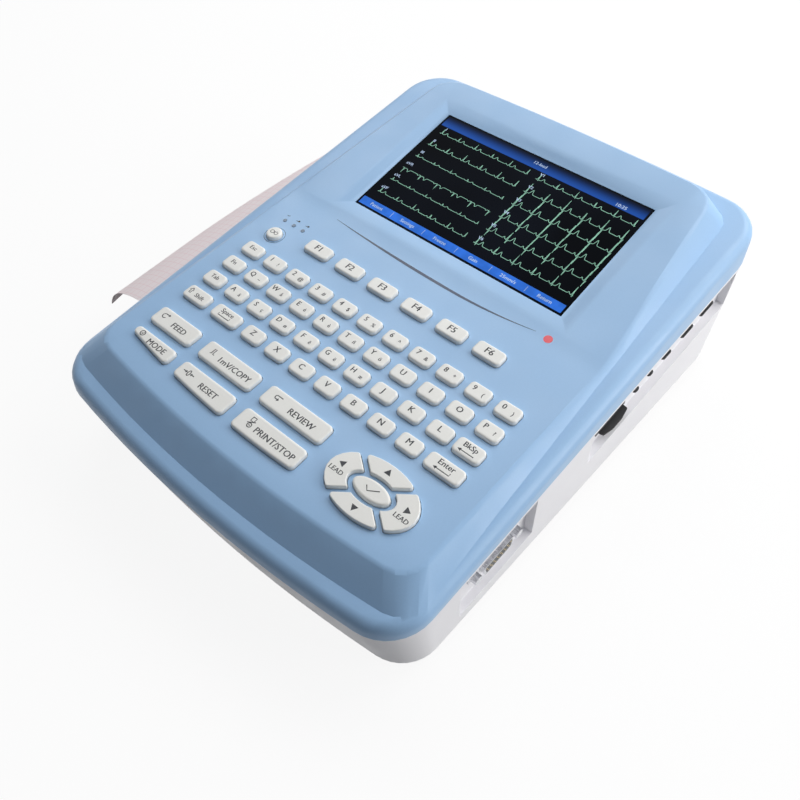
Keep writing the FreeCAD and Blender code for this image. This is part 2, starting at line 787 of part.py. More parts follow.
def make_cover(openings):
    """Top cover: rolled rim, raised crown, sloping display face, key openings and screw bosses."""
    parting, drop = -dim("parting_drop"), dim("rim_drop")
    wall = dim("wall")
    slope_wall = wall * math.hypot(1, dim("crown_front_slope"))
    rim_outer = formed("cover_rim", rim_solid(0.0, parting, drop, dim("rim_round"), int(dim("roll_steps"))))
    crown_outer = formed("cover_crown", crown_solid(0.0, dim("crown_foot"), 0.0, dim("crown_edge")))
    outer = fuse("cover_outer", [rim_outer, crown_outer])
    rim_inner = formed("cover_rim_hollow",
                       rim_solid(wall, parting - wall, drop + wall, dim("rim_round") - wall, 1))
    crown_inner = formed("cover_crown_hollow", crown_solid(slope_wall, dim("crown_foot") - wall, wall, 0.0))
    inner = fuse("cover_inner", [rim_inner, crown_inner])
    shell = cut("cover_shell", outer, inner)
    window_low = "-recess_depth - window_thick"
    frame_block = on_wedge("display_frame_block",
                           [display_box("display_frame", "lcd_border + 4", f"{window_low} - 2", "0")])
    frame = common("display_frame_inside", frame_block, crown_outer)
    boss_side = "2 * boss_half"
    bosses = [block(f"cover_boss_{index}", (boss_side, boss_side, f"{top} + parting_drop + boss_drop"),
                    (f"{x} - boss_half", f"{y} - boss_half", "-parting_drop - boss_drop"))
              for index, (x, y, top) in enumerate(SCREW_PLACES)]
    rail_size = ("mat_rail", "mat_back - mat_front", "mat_drop - wall / 2")
    rails = [block(f"mat_rail_{index}", rail_size, (left, "mat_front", "-mat_drop"))
             for index, left in enumerate(("-mat_half", "mat_half - mat_rail"))]
    bosses_inside = common("cover_bosses", fuse("cover_boss_blocks", bosses), outer)
    solid = fuse("cover_solid", [shell, frame, bosses_inside, *rails])
    window_cuts = on_wedge("display_cuts", [
        display_recess(),
        display_box("window_seat", "window_border", window_low, "-recess_depth + 0.1"),
        display_box("view_opening", "0", f"{window_low} - 3", "0"),
    ])
    pilots = [prism(f"cover_pilot_{index}", 8, "pilot_radius", "screw_length - 2",
                    (x, y, "-parting_drop - boss_drop - 0.5"))
              for index, (x, y, _) in enumerate(SCREW_PLACES)]
    lens_holes = [prism(f"lens_hole_{index}", 12, "lens_radius", "3 * wall", (x, y, "-2 * wall"))
                  for index, (x, y) in enumerate(LENS_PLACES)]
    tools = group("cover_tools", [*openings, *pilots, *lens_holes])
    windowed = cut("cover_windowed", solid, window_cuts, refine=False)
    deck_node("top_cover", [cut("cover_opened", windowed, tools, refine=False)])
    lenses = [prism(f"lens_{index}", 12, "lens_radius", "wall + 0.3", (x, y, "-wall"))
              for index, (x, y) in enumerate(LENS_PLACES)]
    deck_node("indicator_lenses", lenses)
    deck_node("display_window", [on_wedge("window_plate", [
        display_box("window_glass", "window_border", window_low, "-recess_depth")])])
    lcd_high = f"{window_low} - 2"
    lcd = fuse("lcd_parts", [
        display_box("lcd_frame", "lcd_border", f"{lcd_high} - lcd_thick", lcd_high),
        block("lcd_driver", ("90", "30", "4"), ("-45", "view_middle - 15", f"{lcd_high} - lcd_thick - 4")),
    ])
    deck_node("lcd_module", [on_wedge("lcd_placed", [lcd])])


def make_key_boards():
    """Rubber switch mat with a dome under every key, and the board under it."""
    size = ("2 * mat_half", "mat_back - mat_front")
    corner = ("-mat_half", "mat_front")
    mat = [block("mat_sheet", (*size, "mat_thick"), (*corner, "-mat_drop - mat_thick"))]
    places = []
    rows = (
        ("number_row", "key_left", 11, "key_pitch"),
        ("number_row - row_pitch", "key_left", 11, "key_pitch"),
        ("number_row - 2 * row_pitch", "key_left", 11, "key_pitch"),
        ("lower_row", "lower_left", 7, "key_pitch"),
        ("soft_row", "soft_left", 6, "soft_pitch"),
    )
    for row, left, count, pitch in rows:
        places += [(f"{left} + {index} * {pitch}", row) for index in range(count)]
    places += [(f"{name}_middle", "lower_row") for name in ("shift", "space", "enter")]
    for name in ("feed", "calibrate", "review"):
        middle = f"{name}_left + {name}_width / 2"
        places += [(middle, "upper_bank_row"), (middle, "lower_bank_back - lower_bank_depth / 2")]
    nav_across, nav_along = "(nav_long + nav_inner_long) / 2", "(nav_short + nav_inner_short) / 2"
    places += [("power_left", "power_row"), ("nav_middle", "nav_row")]
    places += [(f"nav_middle {sign} {nav_across}", "nav_row") for sign in "+-"]
    places += [("nav_middle", f"nav_row {sign} {nav_along}") for sign in "+-"]
    for index, (x, y) in enumerate(places):
        mat.append(block(f"dome_{index}", ("dome_width", "dome_depth", "dome_height"),
                         (f"{x} - dome_width / 2", f"{y} - dome_depth / 2", "-mat_drop")))
    deck_node("keypad_mat", [fuse("mat_solid", mat)])
    board_low = "-mat_drop - mat_thick - board_thick"
    deck_node("key_board", [fuse("key_board_solid", [
        block("key_board_plate", (*size, "board_thick"), (*corner, board_low)),
        block("key_board_plug", ("30", "6", "5"), ("60", "-20", f"{board_low} - 5")),
    ])])


# Lower case

def recess_walls(name, front, back, floor):
    """Backing, floor, roof and end walls round one socket recess in the right side."""
    left = "recess_face - wall"
    length = f"{back} - ({front}) + 2 * wall"
    height = f"-parting_drop - ({floor}) + wall"
    return [
        block(f"{name}_backing", ("wall", length, height), (left, f"{front} - wall", f"{floor} - wall")),
        block(f"{name}_floor", ("recess_run", length, "wall"), (left, f"{front} - wall", f"{floor} - wall")),
        block(f"{name}_roof", ("recess_run", length, "recess_roof"),
              (left, f"{front} - wall", "-parting_drop - recess_roof")),
        *[block(f"{name}_end_{index}", ("recess_run", "wall", height), (left, start, f"{floor} - wall"))
          for index, start in enumerate((f"{front} - wall", back))],
    ]


def recess_cut(name, front, back, floor):
    """Hollow of one socket recess, open to the right."""
    size = ("2 * recess_run", f"{back} - ({front})", f"-parting_drop - recess_roof - ({floor})")
    return block(f"{name}_hollow", size, ("recess_face", front, floor))


def face_hole(name, row, width, level, height):
    """Rectangular hole for a socket through the back of its recess."""
    return block(name, ("recess_run", width, height),
                 ("recess_face - 2 * wall", f"{row} - {width} / 2", f"{level} - {height} / 2"))


LEG_FRONT = "(recorder_middle - drawer_half - 8)"
LEG_BACK = "(recorder_middle + gear_start + gear_face + 1)"
RECESSES = (
    ("lead_recess", "lead_recess_front", "lead_recess_back", "lead_recess_floor"),
    ("port_recess", "port_recess_front", "port_recess_back", "port_recess_floor"),
)
MAIN_POSTS = (("62", "-108"), ("112", "-108"), ("62", "118"), ("112", "118"))
POWER_POSTS = (("-40", "126"), ("44", "126"), ("-40", "148"), ("44", "148"))


def make_base():
    """Lower case with its drawer mouth, socket recesses, battery bay, screw wells, rails and slots."""
    wall, underside = dim("wall"), dim("foot_height")
    outer = formed("base_outer", base_loft(0.0, underside, 0.0))
    inner = formed("base_inner", base_loft(wall, underside + wall, wall))
    middle = formed("base_mid_wall", base_loft(wall / 2, underside + wall / 2, 0.0))
    shell = cut("base_shell", outer, inner)
    posts = []
    for name, level, places in (("main", "main_level", MAIN_POSTS), ("power", "power_level", POWER_POSTS)):
        for index, (x, y) in enumerate(places):
            posts.append(prism(f"{name}_post_{index}", 8, "post_radius", f"{level} - far_below",
                               (x, y, "far_below")))
    for index, (x, y, _) in enumerate(SCREW_PLACES):
        posts.append(prism(f"screw_well_{index}", 12, "well_radius", "-parting_drop - boss_drop - far_below",
                           (x, y, "far_below")))
    rail_size = ("rail_length", "rail_thick", "drawer_floor - rail_gap - far_below")
    rails = [block(f"drawer_rail_{index}", rail_size,
                   ("frame_left", f"recorder_middle {sign} rail_offset - rail_thick / 2", "far_below"))
             for index, sign in enumerate("-+")]
    leg_posts = [block(f"leg_post_{index}", (length, "post_depth", "frame_foot - far_below"),
                       ("frame_left", f"{leg} - post_depth / 2", "far_below"))
                 for index, (length, leg) in enumerate((("front_leg", LEG_FRONT), ("back_leg", LEG_BACK)))]
    recesses = [wall_block for recess in RECESSES for wall_block in recess_walls(*recess)]
    inside = on_deck("base_inside_deck", [*posts, *rails, *leg_posts, *recesses])
    bay = cut("battery_bay", block("battery_bay_outer", ("bay_width", "bay_depth", "bay_top - foot_height"),
                                   ("bay_left", "bay_front", "foot_height")),
              block("battery_bay_inner", ("bay_width - 2 * bay_wall", "bay_depth - 2 * bay_wall", "bay_top"),
                    ("bay_left + bay_wall", "bay_front + bay_wall", "foot_height")))
    fittings = common("base_fittings", fuse("base_inside", [inside, bay]), middle)
    pad = block("inlet_pad_block", ("flange_width + 2 * wall", "inlet_pad", "flange_height + 2 * wall"),
                ("inlet_across - flange_width / 2 - wall", "inlet_face - flange_plate - inlet_pad",
                 "inlet_height - flange_height / 2 - wall"))
    solid = fuse("base_solid", [fuse("base_fitted", [shell, fittings]), pad])
    bores = []
    for index, (x, y, _) in enumerate(SCREW_PLACES):
        seat = "-parting_drop - boss_drop - seat_thick"
        bores.append(fuse(f"screw_way_{index}", [
            prism(f"screw_bore_{index}", 12, "bore_radius", f"{seat} - far_below", (x, y, "far_below")),
            prism(f"screw_pass_{index}", 8, "pass_radius", "2 * seat_thick", (x, y, f"{seat} - 1")),
        ]))
    signal_holes = []
    for index, sign in enumerate("-+"):
        start = ("recess_face - 2 * wall", f"signal_row {sign} signal_spacing / 2", "port_drop")
        signal_holes.append(prism(f"signal_hole_{index}", 12, "signal_radius + 0.1", "recess_run",
                                  start, "x"))
    deck_cuts = on_deck("base_deck_cuts", [
        block("drawer_mouth",
              ("14", "panel_back - panel_front + 2 * panel_gap", "panel_top - panel_bottom + 10"),
              ("-case_width / 2 - 4", "recorder_middle + panel_front - panel_gap",
               "panel_bottom - panel_gap")),
        *[recess_cut(*recess) for recess in RECESSES],
        face_hole("lead_hole", "lead_row", "26", "lead_drop", "10"),
        face_hole("card_hole", "card_row", "30", "card_drop", "6"),
        face_hole("small_port_hole", "small_port_row", "9.6", "port_drop", "4.8"),
        face_hole("host_port_hole", "host_port_row", "14.6", "port_drop", "7.2"),
        face_hole("network_hole", "network_row", "16.2", "port_drop", "13.2"),
        *signal_holes,
        *bores,
    ])
    lap = "(bay_wall - door_lap - 0.3)"
    slots = []
    for index in range(6):
        front = f"speaker_row + {index - 2.5} * slot_pitch - slot_width / 2"
        slots.append(block(f"speaker_slot_{index}", ("slot_length", "slot_width", "2 * foot_height"),
                           ("speaker_across - slot_length / 2", front, "foot_height / 2")))
    table_cuts = [
        block("battery_mouth", (f"bay_width - 2 * {lap}", f"bay_depth - 2 * {lap}", "foot_height / 2 + wall"),
              (f"bay_left + {lap}", f"bay_front + {lap}", "foot_height / 2")),
        block("inlet_hole", ("inlet_width + 0.6", "inlet_depth + 5", "inlet_tall + 0.6"),
              ("inlet_across - inlet_width / 2 - 0.3", "inlet_face - inlet_depth - 1",
               "inlet_height - inlet_tall / 2 - 0.3")),
        block("inlet_pocket", ("flange_width + 0.6", "10", "flange_height + 0.6"),
              ("inlet_across - flange_width / 2 - 0.3", "inlet_face - flange_plate",
               "inlet_height - flange_height / 2 - 0.3")),
        prism("stud_hole", 6, "collar_radius", "stud_length + 4",
              ("stud_across", "stud_end - stud_length - 6", "stud_height"), "y"),
        *slots,
    ]
    opened = cut("base_opened", solid, fuse("base_cuts", [deck_cuts, *table_cuts]))
    table_node("base_tray", [opened])
    return shell


def make_feet_and_screws():
    """Rubber feet on the underside and the screws that hold the two shells together."""
    feet = []
    for index, (x, y) in enumerate((("-105", "-136"), ("105", "-136"), ("-105", "132"), ("105", "132"))):
        feet.append(prism(f"foot_{index}", 16, "foot_radius", "foot_height", (x, y, "0")))
    table_node("rubber_feet", feet)
    screws = []
    seat = "-parting_drop - boss_drop - seat_thick"
    for index, (x, y, _) in enumerate(SCREW_PLACES):
        head = prism(f"screw_head_{index}", 12, "head_radius", "head_thick", (x, y, f"{seat} - head_thick"))
        shank = prism(f"screw_shank_{index}", 8, "screw_radius", "screw_length", (x, y, seat))
        screws.append(fuse(f"screw_{index}", [head, shank]))
    deck_node("case_screws", screws)


# Recorder

def gear_outline(teeth, phase):
    """Closed outline of a spur gear with straight-flanked stub teeth, about the origin in the XZ plane."""
    module = dim("gear_module")
    pitch_radius = module * teeth / 2
    tip, root = pitch_radius + 0.8 * module, pitch_radius - 1.1 * module
    step = 2 * math.pi / teeth
    tip_half, root_half = 0.11 * step, 0.32 * step
    points = []
    for tooth in range(int(teeth)):
        middle = phase + tooth * step
        for radius, side in ((root, -root_half), (tip, -tip_half), (tip, tip_half), (root, root_half)):
            points.append(Vector(radius * math.cos(middle + side), 0, radius * math.sin(middle + side)))
    return Part.makePolygon(points + points[:1])


def gear(name, teeth, phase, bore):
    """Spur gear blank, from its front face towards +Y, with a round bore."""
    face = dim("gear_face")
    blank = Part.Face(gear_outline(teeth, phase)).extrude(Vector(0, face, 0))
    hole = Part.makeCylinder(bore, 3 * face, Vector(0, -face, 0), Vector(0, 1, 0))
    return formed(name, blank.cut(hole))


def make_drawer(base_shell):
    """Paper drawer: a face cut from the lower case's own wall, a tray, a divider and a finger grip."""
    panel_block = block("panel_block", ("20", "panel_back - panel_front", "panel_top - panel_bottom"),
                        ("-case_width / 2 - 5", "recorder_middle + panel_front", "panel_bottom"))
    panel = common("panel_wall", on_deck("panel_box", [panel_block]), base_shell)
    tray = cut("tray_box",
               block("tray_outer", ("tray_back - tray_front", "2 * drawer_half", "drawer_top - drawer_floor"),
                     ("tray_front", "recorder_middle - drawer_half", "drawer_floor")),
               block("tray_inner", ("tray_back - tray_front - tray_face_wall - drawer_wall",
                                    "2 * drawer_half - 2 * drawer_wall", "drawer_top - drawer_floor"),
                     ("tray_front + tray_face_wall", "recorder_middle - drawer_half + drawer_wall",
                      "drawer_floor + drawer_wall")))
    divider = block("tray_divider", ("drawer_wall", "2 * drawer_half - drawer_wall", "divider_height"),
                    ("divider_across", "recorder_middle - drawer_half + drawer_wall / 2",
                     "drawer_floor + drawer_wall / 2"))
    grip_size = ("grip_across + wall - tray_front", "grip_width + 2 * wall", "grip_height + 2 * wall")
    grip = block("grip_back", grip_size,
                 ("tray_front", "recorder_middle - grip_width / 2 - wall", "grip_row - wall"))
    walls = on_deck("tray_deck", [tray, divider, grip])
    ways = on_deck("tray_ways", [
        rod("bearing_bore", "shaft_radius + running_gap", "2 * drawer_half + 20",
            ("platen_across", "recorder_middle - drawer_half - 10", "-platen_drop"), "y"),
        block("grip_recess", ("20", "grip_width", "grip_height"),
              ("grip_across - 20", "recorder_middle - grip_width / 2", "grip_row")),
    ])
    table_node("recorder_drawer", [cut("drawer_solid", fuse("drawer_joined", [panel, walls]), ways)])
    pack_size = ("pack_length", "paper_width", "pack_top - drawer_floor - drawer_wall")
    pack = block("pack_sheets", pack_size,
                 ("pack_left", "recorder_middle - paper_width / 2", "drawer_floor + drawer_wall"))
    deck_node("paper_pack", [pack])
    deck_node("paper_strip", [formed("strip_sheet", paper_sheet())])


def make_recorder():
    """Thermal recorder: platen, fixed head, frame, motor and gear train."""
    axis = ("platen_across", "recorder_middle", "-platen_drop")
    roller = fuse("roller_parts", [
        rod("roller_rubber", "platen_radius", "platen_length",
            (axis[0], "recorder_middle - platen_length / 2", axis[2]), "y"),
        rod("roller_shaft", "shaft_radius", "drawer_half + gear_start + gear_face + 3",
            (axis[0], "recorder_middle - drawer_half - 2", axis[2]), "y"),
    ])
    deck_node("platen_roller", [roller])
    teeth = {name: dim(f"{name}_teeth") for name in ("platen", "idler", "pinion")}
    gear_start = "recorder_middle + gear_start"
    idler_across = "platen_across + gear_module * (platen_teeth + idler_teeth) / 2"
    pinion_across = f"{idler_across} + gear_module * (idler_teeth + pinion_teeth) / 2"
    platen_gear = gear("platen_gear_form", teeth["platen"], 0.0, dim("shaft_radius"))
    deck_node("platen_gear", [move(platen_gear, (axis[0], gear_start, axis[2]))])
    half_step = math.pi / teeth["idler"]
    idler = gear("idler_gear_form", teeth["idler"], half_step, dim("idler_pin") + dim("running_gap"))
    deck_node("idler_gear", [move(idler, (idler_across, gear_start, axis[2]))])
    pinion = gear("pinion_form", teeth["pinion"], 0.0, dim("motor_shaft") / 2)
    pinion_shaft = rod("pinion_shaft", "motor_shaft", "gear_face + 9",
                       (pinion_across, gear_start, axis[2]), "y")
    deck_node("motor_pinion", [fuse("pinion_parts", [move(pinion, (pinion_across, gear_start, axis[2])),
                                                     pinion_shaft])])
    leg_height = "frame_top - frame_foot + frame_sheet"
    frame_parts = fuse("frame_parts", [
        block("frame_plate", ("front_leg", f"{LEG_BACK} - {LEG_FRONT} + frame_sheet", "frame_sheet"),
              ("frame_left", LEG_FRONT, "frame_top")),
        block("frame_leg_front", ("front_leg", "frame_sheet", leg_height),
              ("frame_left", LEG_FRONT, "frame_foot")),
        block("frame_leg_back", ("back_leg", "frame_sheet", leg_height),
              ("frame_left", LEG_BACK, "frame_foot")),
        rod("idler_spindle", "idler_pin", "gear_face + 2",
            (idler_across, f"{gear_start} - 0.5", axis[2]), "y"),
    ])
    frame_holes = fuse("frame_holes", [
        rod("shaft_pass", "2 * motor_shaft", "8", (pinion_across, f"{LEG_BACK} - 0.2", axis[2]), "y"),
        rod("platen_pass", "shaft_radius + 1.5", "8", (axis[0], f"{LEG_BACK} - 3", axis[2]), "y"),
        block("platen_way", ("30", "8", "2 * shaft_radius + 3"),
              (f"{axis[0]} - 30", f"{LEG_BACK} - 3", "-platen_drop - shaft_radius - 1.5")),
    ])
    deck_node("recorder_frame", [cut("frame_bent", frame_parts, frame_holes)])
    motor = cut("motor_case", prism("motor_can", 24, "motor_radius", "motor_length",
                                    (pinion_across, f"{LEG_BACK} + frame_sheet", axis[2]), "y"),
                rod("motor_bearing", "motor_shaft + running_gap", "8",
                    (pinion_across, f"{LEG_BACK} + frame_sheet - 1", axis[2]), "y"))
    deck_node("stepper_motor", [motor])
    head_low = "-platen_drop + platen_radius + paper_gap * 2 + paper_thick"
    head_front, head_back = "recorder_middle - paper_width / 2 - 3", "recorder_middle + paper_width / 2 + 3"
    lug_low = f"{head_low} + head_ceramic"
    head = fuse("head_parts", [
        block("head_strip", ("head_width / 2", "paper_width + 6", "head_ceramic"),
              ("platen_across - head_width / 4", head_front, head_low)),
        block("head_plate", ("head_width", "paper_width + 6", "head_sink"),
              ("platen_across - head_width / 2", head_front, lug_low)),
        block("head_lug_front",
              ("head_width / 2", f"{head_front} - {LEG_FRONT} - frame_sheet", "head_sink / 2"),
              ("platen_across - head_width / 4", f"{LEG_FRONT} + frame_sheet", lug_low)),
        block("head_lug_back", ("head_width / 2", f"{LEG_BACK} - ({head_back})", "head_sink / 2"),
              ("platen_across - head_width / 4", head_back, lug_low)),
    ])
    deck_node("print_head", [head])
    deck_node("head_spring", [formed("head_leaf", leaf_spring())])


def paper_sheet():
    """Chart paper from its pack, over the platen, out of the slot and down in a curl with a slanting edge."""
    thick, gap = dim("paper_thick"), dim("paper_gap")
    top = -dim("platen_drop") + dim("platen_radius") + gap
    over = dim("platen_across")
    pack = dim("pack_top") + gap
    lip = -dim("case_width") / 2 - 1.0
    reach, fall = dim("paper_reach"), dim("paper_fall")
    half_turn = math.atan2(fall, reach)
    curl = reach / math.sin(2 * half_turn)
    climb = (top - pack) / 2
    run = 14.0
    flat_run = 40.0
    ease = (run * run + climb * climb) / (2 * climb)
    swing = 2 * math.atan2(climb, run)

    def line(offset):
        """Side view of the sheet at one offset above its lower face."""
        start = Vector(over + 2 * run + flat_run, 0, pack + offset)
        foot = Vector(over + 2 * run, 0, pack + offset)
        crest = Vector(over, 0, top + offset)
        exit_point = Vector(lip, 0, top + offset)
        middle = (foot + crest) * 0.5
        lower = foot + Vector(-ease * math.sin(swing / 2), 0, ease * (1 - math.cos(swing / 2)))
        upper = crest + Vector(ease * math.sin(swing / 2), 0, -ease * (1 - math.cos(swing / 2)))
        outer = curl + offset
        curl_middle = exit_point - Vector(0, 0, outer)
        curl_points = [curl_middle + Vector(-math.sin(angle), 0, math.cos(angle)) * outer
                       for angle in (half_turn, 2 * half_turn)]
        return [
            Part.LineSegment(start, foot).toShape(),
            Part.Arc(foot, lower, middle).toShape(),
            Part.Arc(middle, upper, crest).toShape(),
            Part.LineSegment(crest, exit_point).toShape(),
            Part.Arc(exit_point, *curl_points).toShape(),
        ]

    low_edges, high_edges = line(0.0), line(thick)
    ends = [
        Part.LineSegment(high_edges[-1].Vertexes[-1].Point, low_edges[-1].Vertexes[-1].Point).toShape(),
        Part.LineSegment(high_edges[0].Vertexes[0].Point, low_edges[0].Vertexes[0].Point).toShape(),
    ]
    outline = Part.Wire(Part.__sortEdges__([*low_edges, *high_edges, *ends]))
    sheet = Part.Face(outline).extrude(Vector(0, dim("paper_width"), 0))
    front = dim("recorder_middle") - dim("paper_width") / 2
    back = front + dim("paper_width")
    sheet.translate(Vector(0, front, 0))
    beyond = lip - 2 * reach
    free_edge = [Vector(lip - reach - thick, front, 0), Vector(lip - dim("paper_back_reach"), back, 0)]
    waste = Part.makePolygon([*free_edge, Vector(beyond, back, 0), Vector(beyond, front, 0), free_edge[0]])
    torn_off = Part.Face(waste).extrude(Vector(0, 0, -2 * reach))
    return sheet.cut(torn_off)


def leaf_spring():
    """Arched leaf that presses the print head down from the frame's top plate."""
    head_top = dim("head_ceramic") + dim("head_sink") + 2 * dim("paper_gap") + dim("paper_thick")
    low = -dim("platen_drop") + dim("platen_radius") + head_top
    sheet, half_span, width = dim("leaf_thick"), dim("leaf_half"), dim("leaf_width")
    middle = dim("recorder_middle")
    rise = dim("frame_top") - low - sheet

    def bow(offset):
        """One face of the leaf as an arc over its span."""
        return Part.Arc(Vector(0, middle - half_span, low + offset), Vector(0, middle, low + rise + offset),
                        Vector(0, middle + half_span, low + offset)).toShape()

    faces = [bow(0.0), bow(sheet)]
    ends = [Part.LineSegment(faces[0].Vertexes[index].Point, faces[1].Vertexes[index].Point).toShape()
            for index in (0, 1)]
    outline = Part.Wire(Part.__sortEdges__([faces[0], ends[0], faces[1], ends[1]]))
    leaf = Part.Face(outline).extrude(Vector(width, 0, 0))
    leaf.translate(Vector(dim("platen_across") - width / 2, 0, 0))
    return leaf


# Electronics, sockets and power

# Name, across, along, width, depth and height on the main board
CHIPS = (
    ("processor", "70", "-10", "20", "20", "2"),
    ("memory", "92", "-8", "12", "18", "1.2"),
    ("front_end", "66", "-80", "26", "40", "6"),
    ("converter", "64", "60", "14", "14", "9"),
    ("ribbon_plug", "57", "14", "6", "34", "6"),
)
# Name, middle, length and top of the stands that carry the sockets
STANDS = (
    ("lead", "lead_row", "20", "lead_drop - 4.5"),
    ("card", "card_row", "26", "card_drop - 2.7"),
    ("signal", "signal_row", "22", "port_drop - 3.1"),
    ("small_port", "small_port_row", "8", "port_drop - 2.3"),
    ("host_port", "host_port_row", "13", "port_drop - 3.5"),
    ("network", "network_row", "15", "port_drop - 6.5"),
)


def make_electronics():
    """Main board, power board, battery and speaker."""
    top = "(main_level + board_thick)"
    parts = [block("main_plate", ("main_width", "main_depth", "board_thick"),
                   ("main_left", "main_front", "main_level"))]
    for name, x, y, width, depth, height in CHIPS:
        parts.append(block(f"chip_{name}", (width, depth, height), (x, y, top)))
    for name, row, length, level in STANDS:
        parts.append(block(f"{name}_stand", ("6", length, f"{level} - {top}"),
                           ("recess_face - 11", f"{row} - {length} / 2", top)))
    deck_node("main_board", [fuse("main_board_solid", parts)])
    power_top = "power_level + board_thick"
    deck_node("power_board", [fuse("power_board_solid", [
        block("power_plate", ("power_board_width", "power_board_depth", "board_thick"),
              ("power_board_left", "power_board_front", "power_level")),
        block("transformer", ("30", "26", "22"), ("-30", "power_board_front + 3", power_top)),
        block("heat_sink", ("3", "28", "20"), ("6", "power_board_front + 2", power_top)),
        *[prism(f"reservoir_{index}", 12, "6", "20", (x, "power_board_front + 22", power_top))
          for index, x in enumerate(("20", "35"))],
    ])])
    inset, lap = "(bay_wall + 1)", "(bay_wall - door_lap)"
    cell_size = (f"bay_width - 2 * {inset}", f"bay_depth - 2 * {inset}", "battery_height")
    cells = block("battery_cells", cell_size,
                  (f"bay_left + {inset}", f"bay_front + {inset}", "foot_height + wall"))
    table_node("battery_pack", [cells])
    door_size = (f"bay_width - 2 * {lap}", f"bay_depth - 2 * {lap}", "wall")
    door = block("battery_plate", door_size, (f"bay_left + {lap}", f"bay_front + {lap}", "foot_height"))
    table_node("battery_door", [door])
    speaker_place = ("speaker_across", "speaker_row", "foot_height + wall")
    table_node("speaker", [fuse("speaker_parts", [
        prism("speaker_rim", 24, "speaker_radius", "3", speaker_place),
        prism("speaker_magnet", 24, "speaker_radius / 2", "9", speaker_place),
    ])])


def d_shell(name, grow, low, length):
    """D-shaped prism of a lead connector, along X, with two sloping sides."""
    half_top, half_bottom, half_height = 12.3 + grow, 10.9 + grow, 4.15 + grow
    row, drop = dim("lead_row"), dim("lead_drop")
    corners = ((-half_top, half_height), (half_top, half_height), (half_bottom, -half_height),
               (-half_bottom, -half_height))
    ring = [Vector(low, row + along, drop + up) for along, up in corners]
    shell = Part.Face(Part.makePolygon(ring + ring[:1])).extrude(Vector(length, 0, 0))
    sides = [edge for edge in shell.Edges if edge.BoundBox.XLength > length / 2]
    return formed(name, shell.makeChamfer(1.2, sides))


def make_sockets():
    """Sockets in the right side, mains inlet and earth stud at the back."""
    face = dim("recess_face")
    flange = block("lead_flange", ("1", "39.1", "12.5"),
                   ("recess_face", "lead_row - 19.55", "lead_drop - 6.25"))
    body = block("lead_body", ("12", "25", "9"), ("recess_face - 12", "lead_row - 12.5", "lead_drop - 4.5"))
    deck_node("lead_socket", [fuse("lead_parts", [flange, body, d_shell("lead_shell", 0.0, face, 5.0)])])
    jacks = []
    for index, side in enumerate((-1, 1)):
        jacks.append(prism(f"jack_screw_{index}", 6, "2.9", "4.4",
                           ("recess_face + 1", f"lead_row + {side} * jack_spacing / 2", "lead_drop"), "x"))
    deck_node("jack_screws", jacks)
    card = cut("card_frame", block("card_body", ("16", "29.4", "5.4"),
                                   ("recess_face - 15.4", "card_row - 14.7", "card_drop - 2.7")),
               block("card_slot_way", ("15", "25", "2.6"),
                     ("recess_face - 13", "card_row - 12.5", "card_drop - 1.3")))
    deck_node("card_slot", [card])
    signals = []
    for index, side in enumerate((-1, 1)):
        place = ("recess_face - 11", f"signal_row + {side} * signal_spacing / 2", "port_drop")
        barrel = prism(f"signal_barrel_{index}", 12, "signal_radius", "12", place, "x")
        bore = prism(f"signal_bore_{index}", 12, "signal_bore", "12", ("recess_face - 9", *place[1:]), "x")
        signals.append(cut(f"signal_jack_{index}", barrel, bore))
    deck_node("signal_jacks", signals)
    small = cut("small_port", block("small_port_shell", ("10", "9.4", "4.6"),
                                    ("recess_face - 9.6", "small_port_row - 4.7", "port_drop - 2.3")),
                block("small_port_way", ("8", "8.4", "3.6"),
                      ("recess_face - 7", "small_port_row - 4.2", "port_drop - 1.8")))
    host_way = cut("host_way", block("host_hollow", ("14", "13.2", "5.8"),
                                     ("recess_face - 13", "host_port_row - 6.6", "port_drop - 2.9")),
                   block("host_tongue", ("11", "11.6", "1.9"),
                         ("recess_face - 13", "host_port_row - 5.8", "port_drop + 0.4")))
    host = cut("host_port", block("host_port_shell", ("15", "14.4", "7"),
                                  ("recess_face - 14.6", "host_port_row - 7.2", "port_drop - 3.5")), host_way)
    deck_node("usb_ports", [small, host])
    network = cut("network_shell", block("network_body", ("18", "16", "13"),
                                         ("recess_face - 17.6", "network_row - 8", "port_drop - 6.5")),
                  block("network_way", ("14", "12", "9"),
                        ("recess_face - 13", "network_row - 6", "port_drop - 4.5")))
    deck_node("network_port", [network])
    make_inlet()
    stud_start = ("stud_across", "stud_end - stud_length", "stud_height")
    stud = fuse("stud_parts", [
        rod("stud_pin", "stud_radius", "stud_length", stud_start, "y"),
        prism("stud_collar", 6, "collar_radius", "collar_length", stud_start, "y"),
    ])
    table_node("ground_stud", [stud])


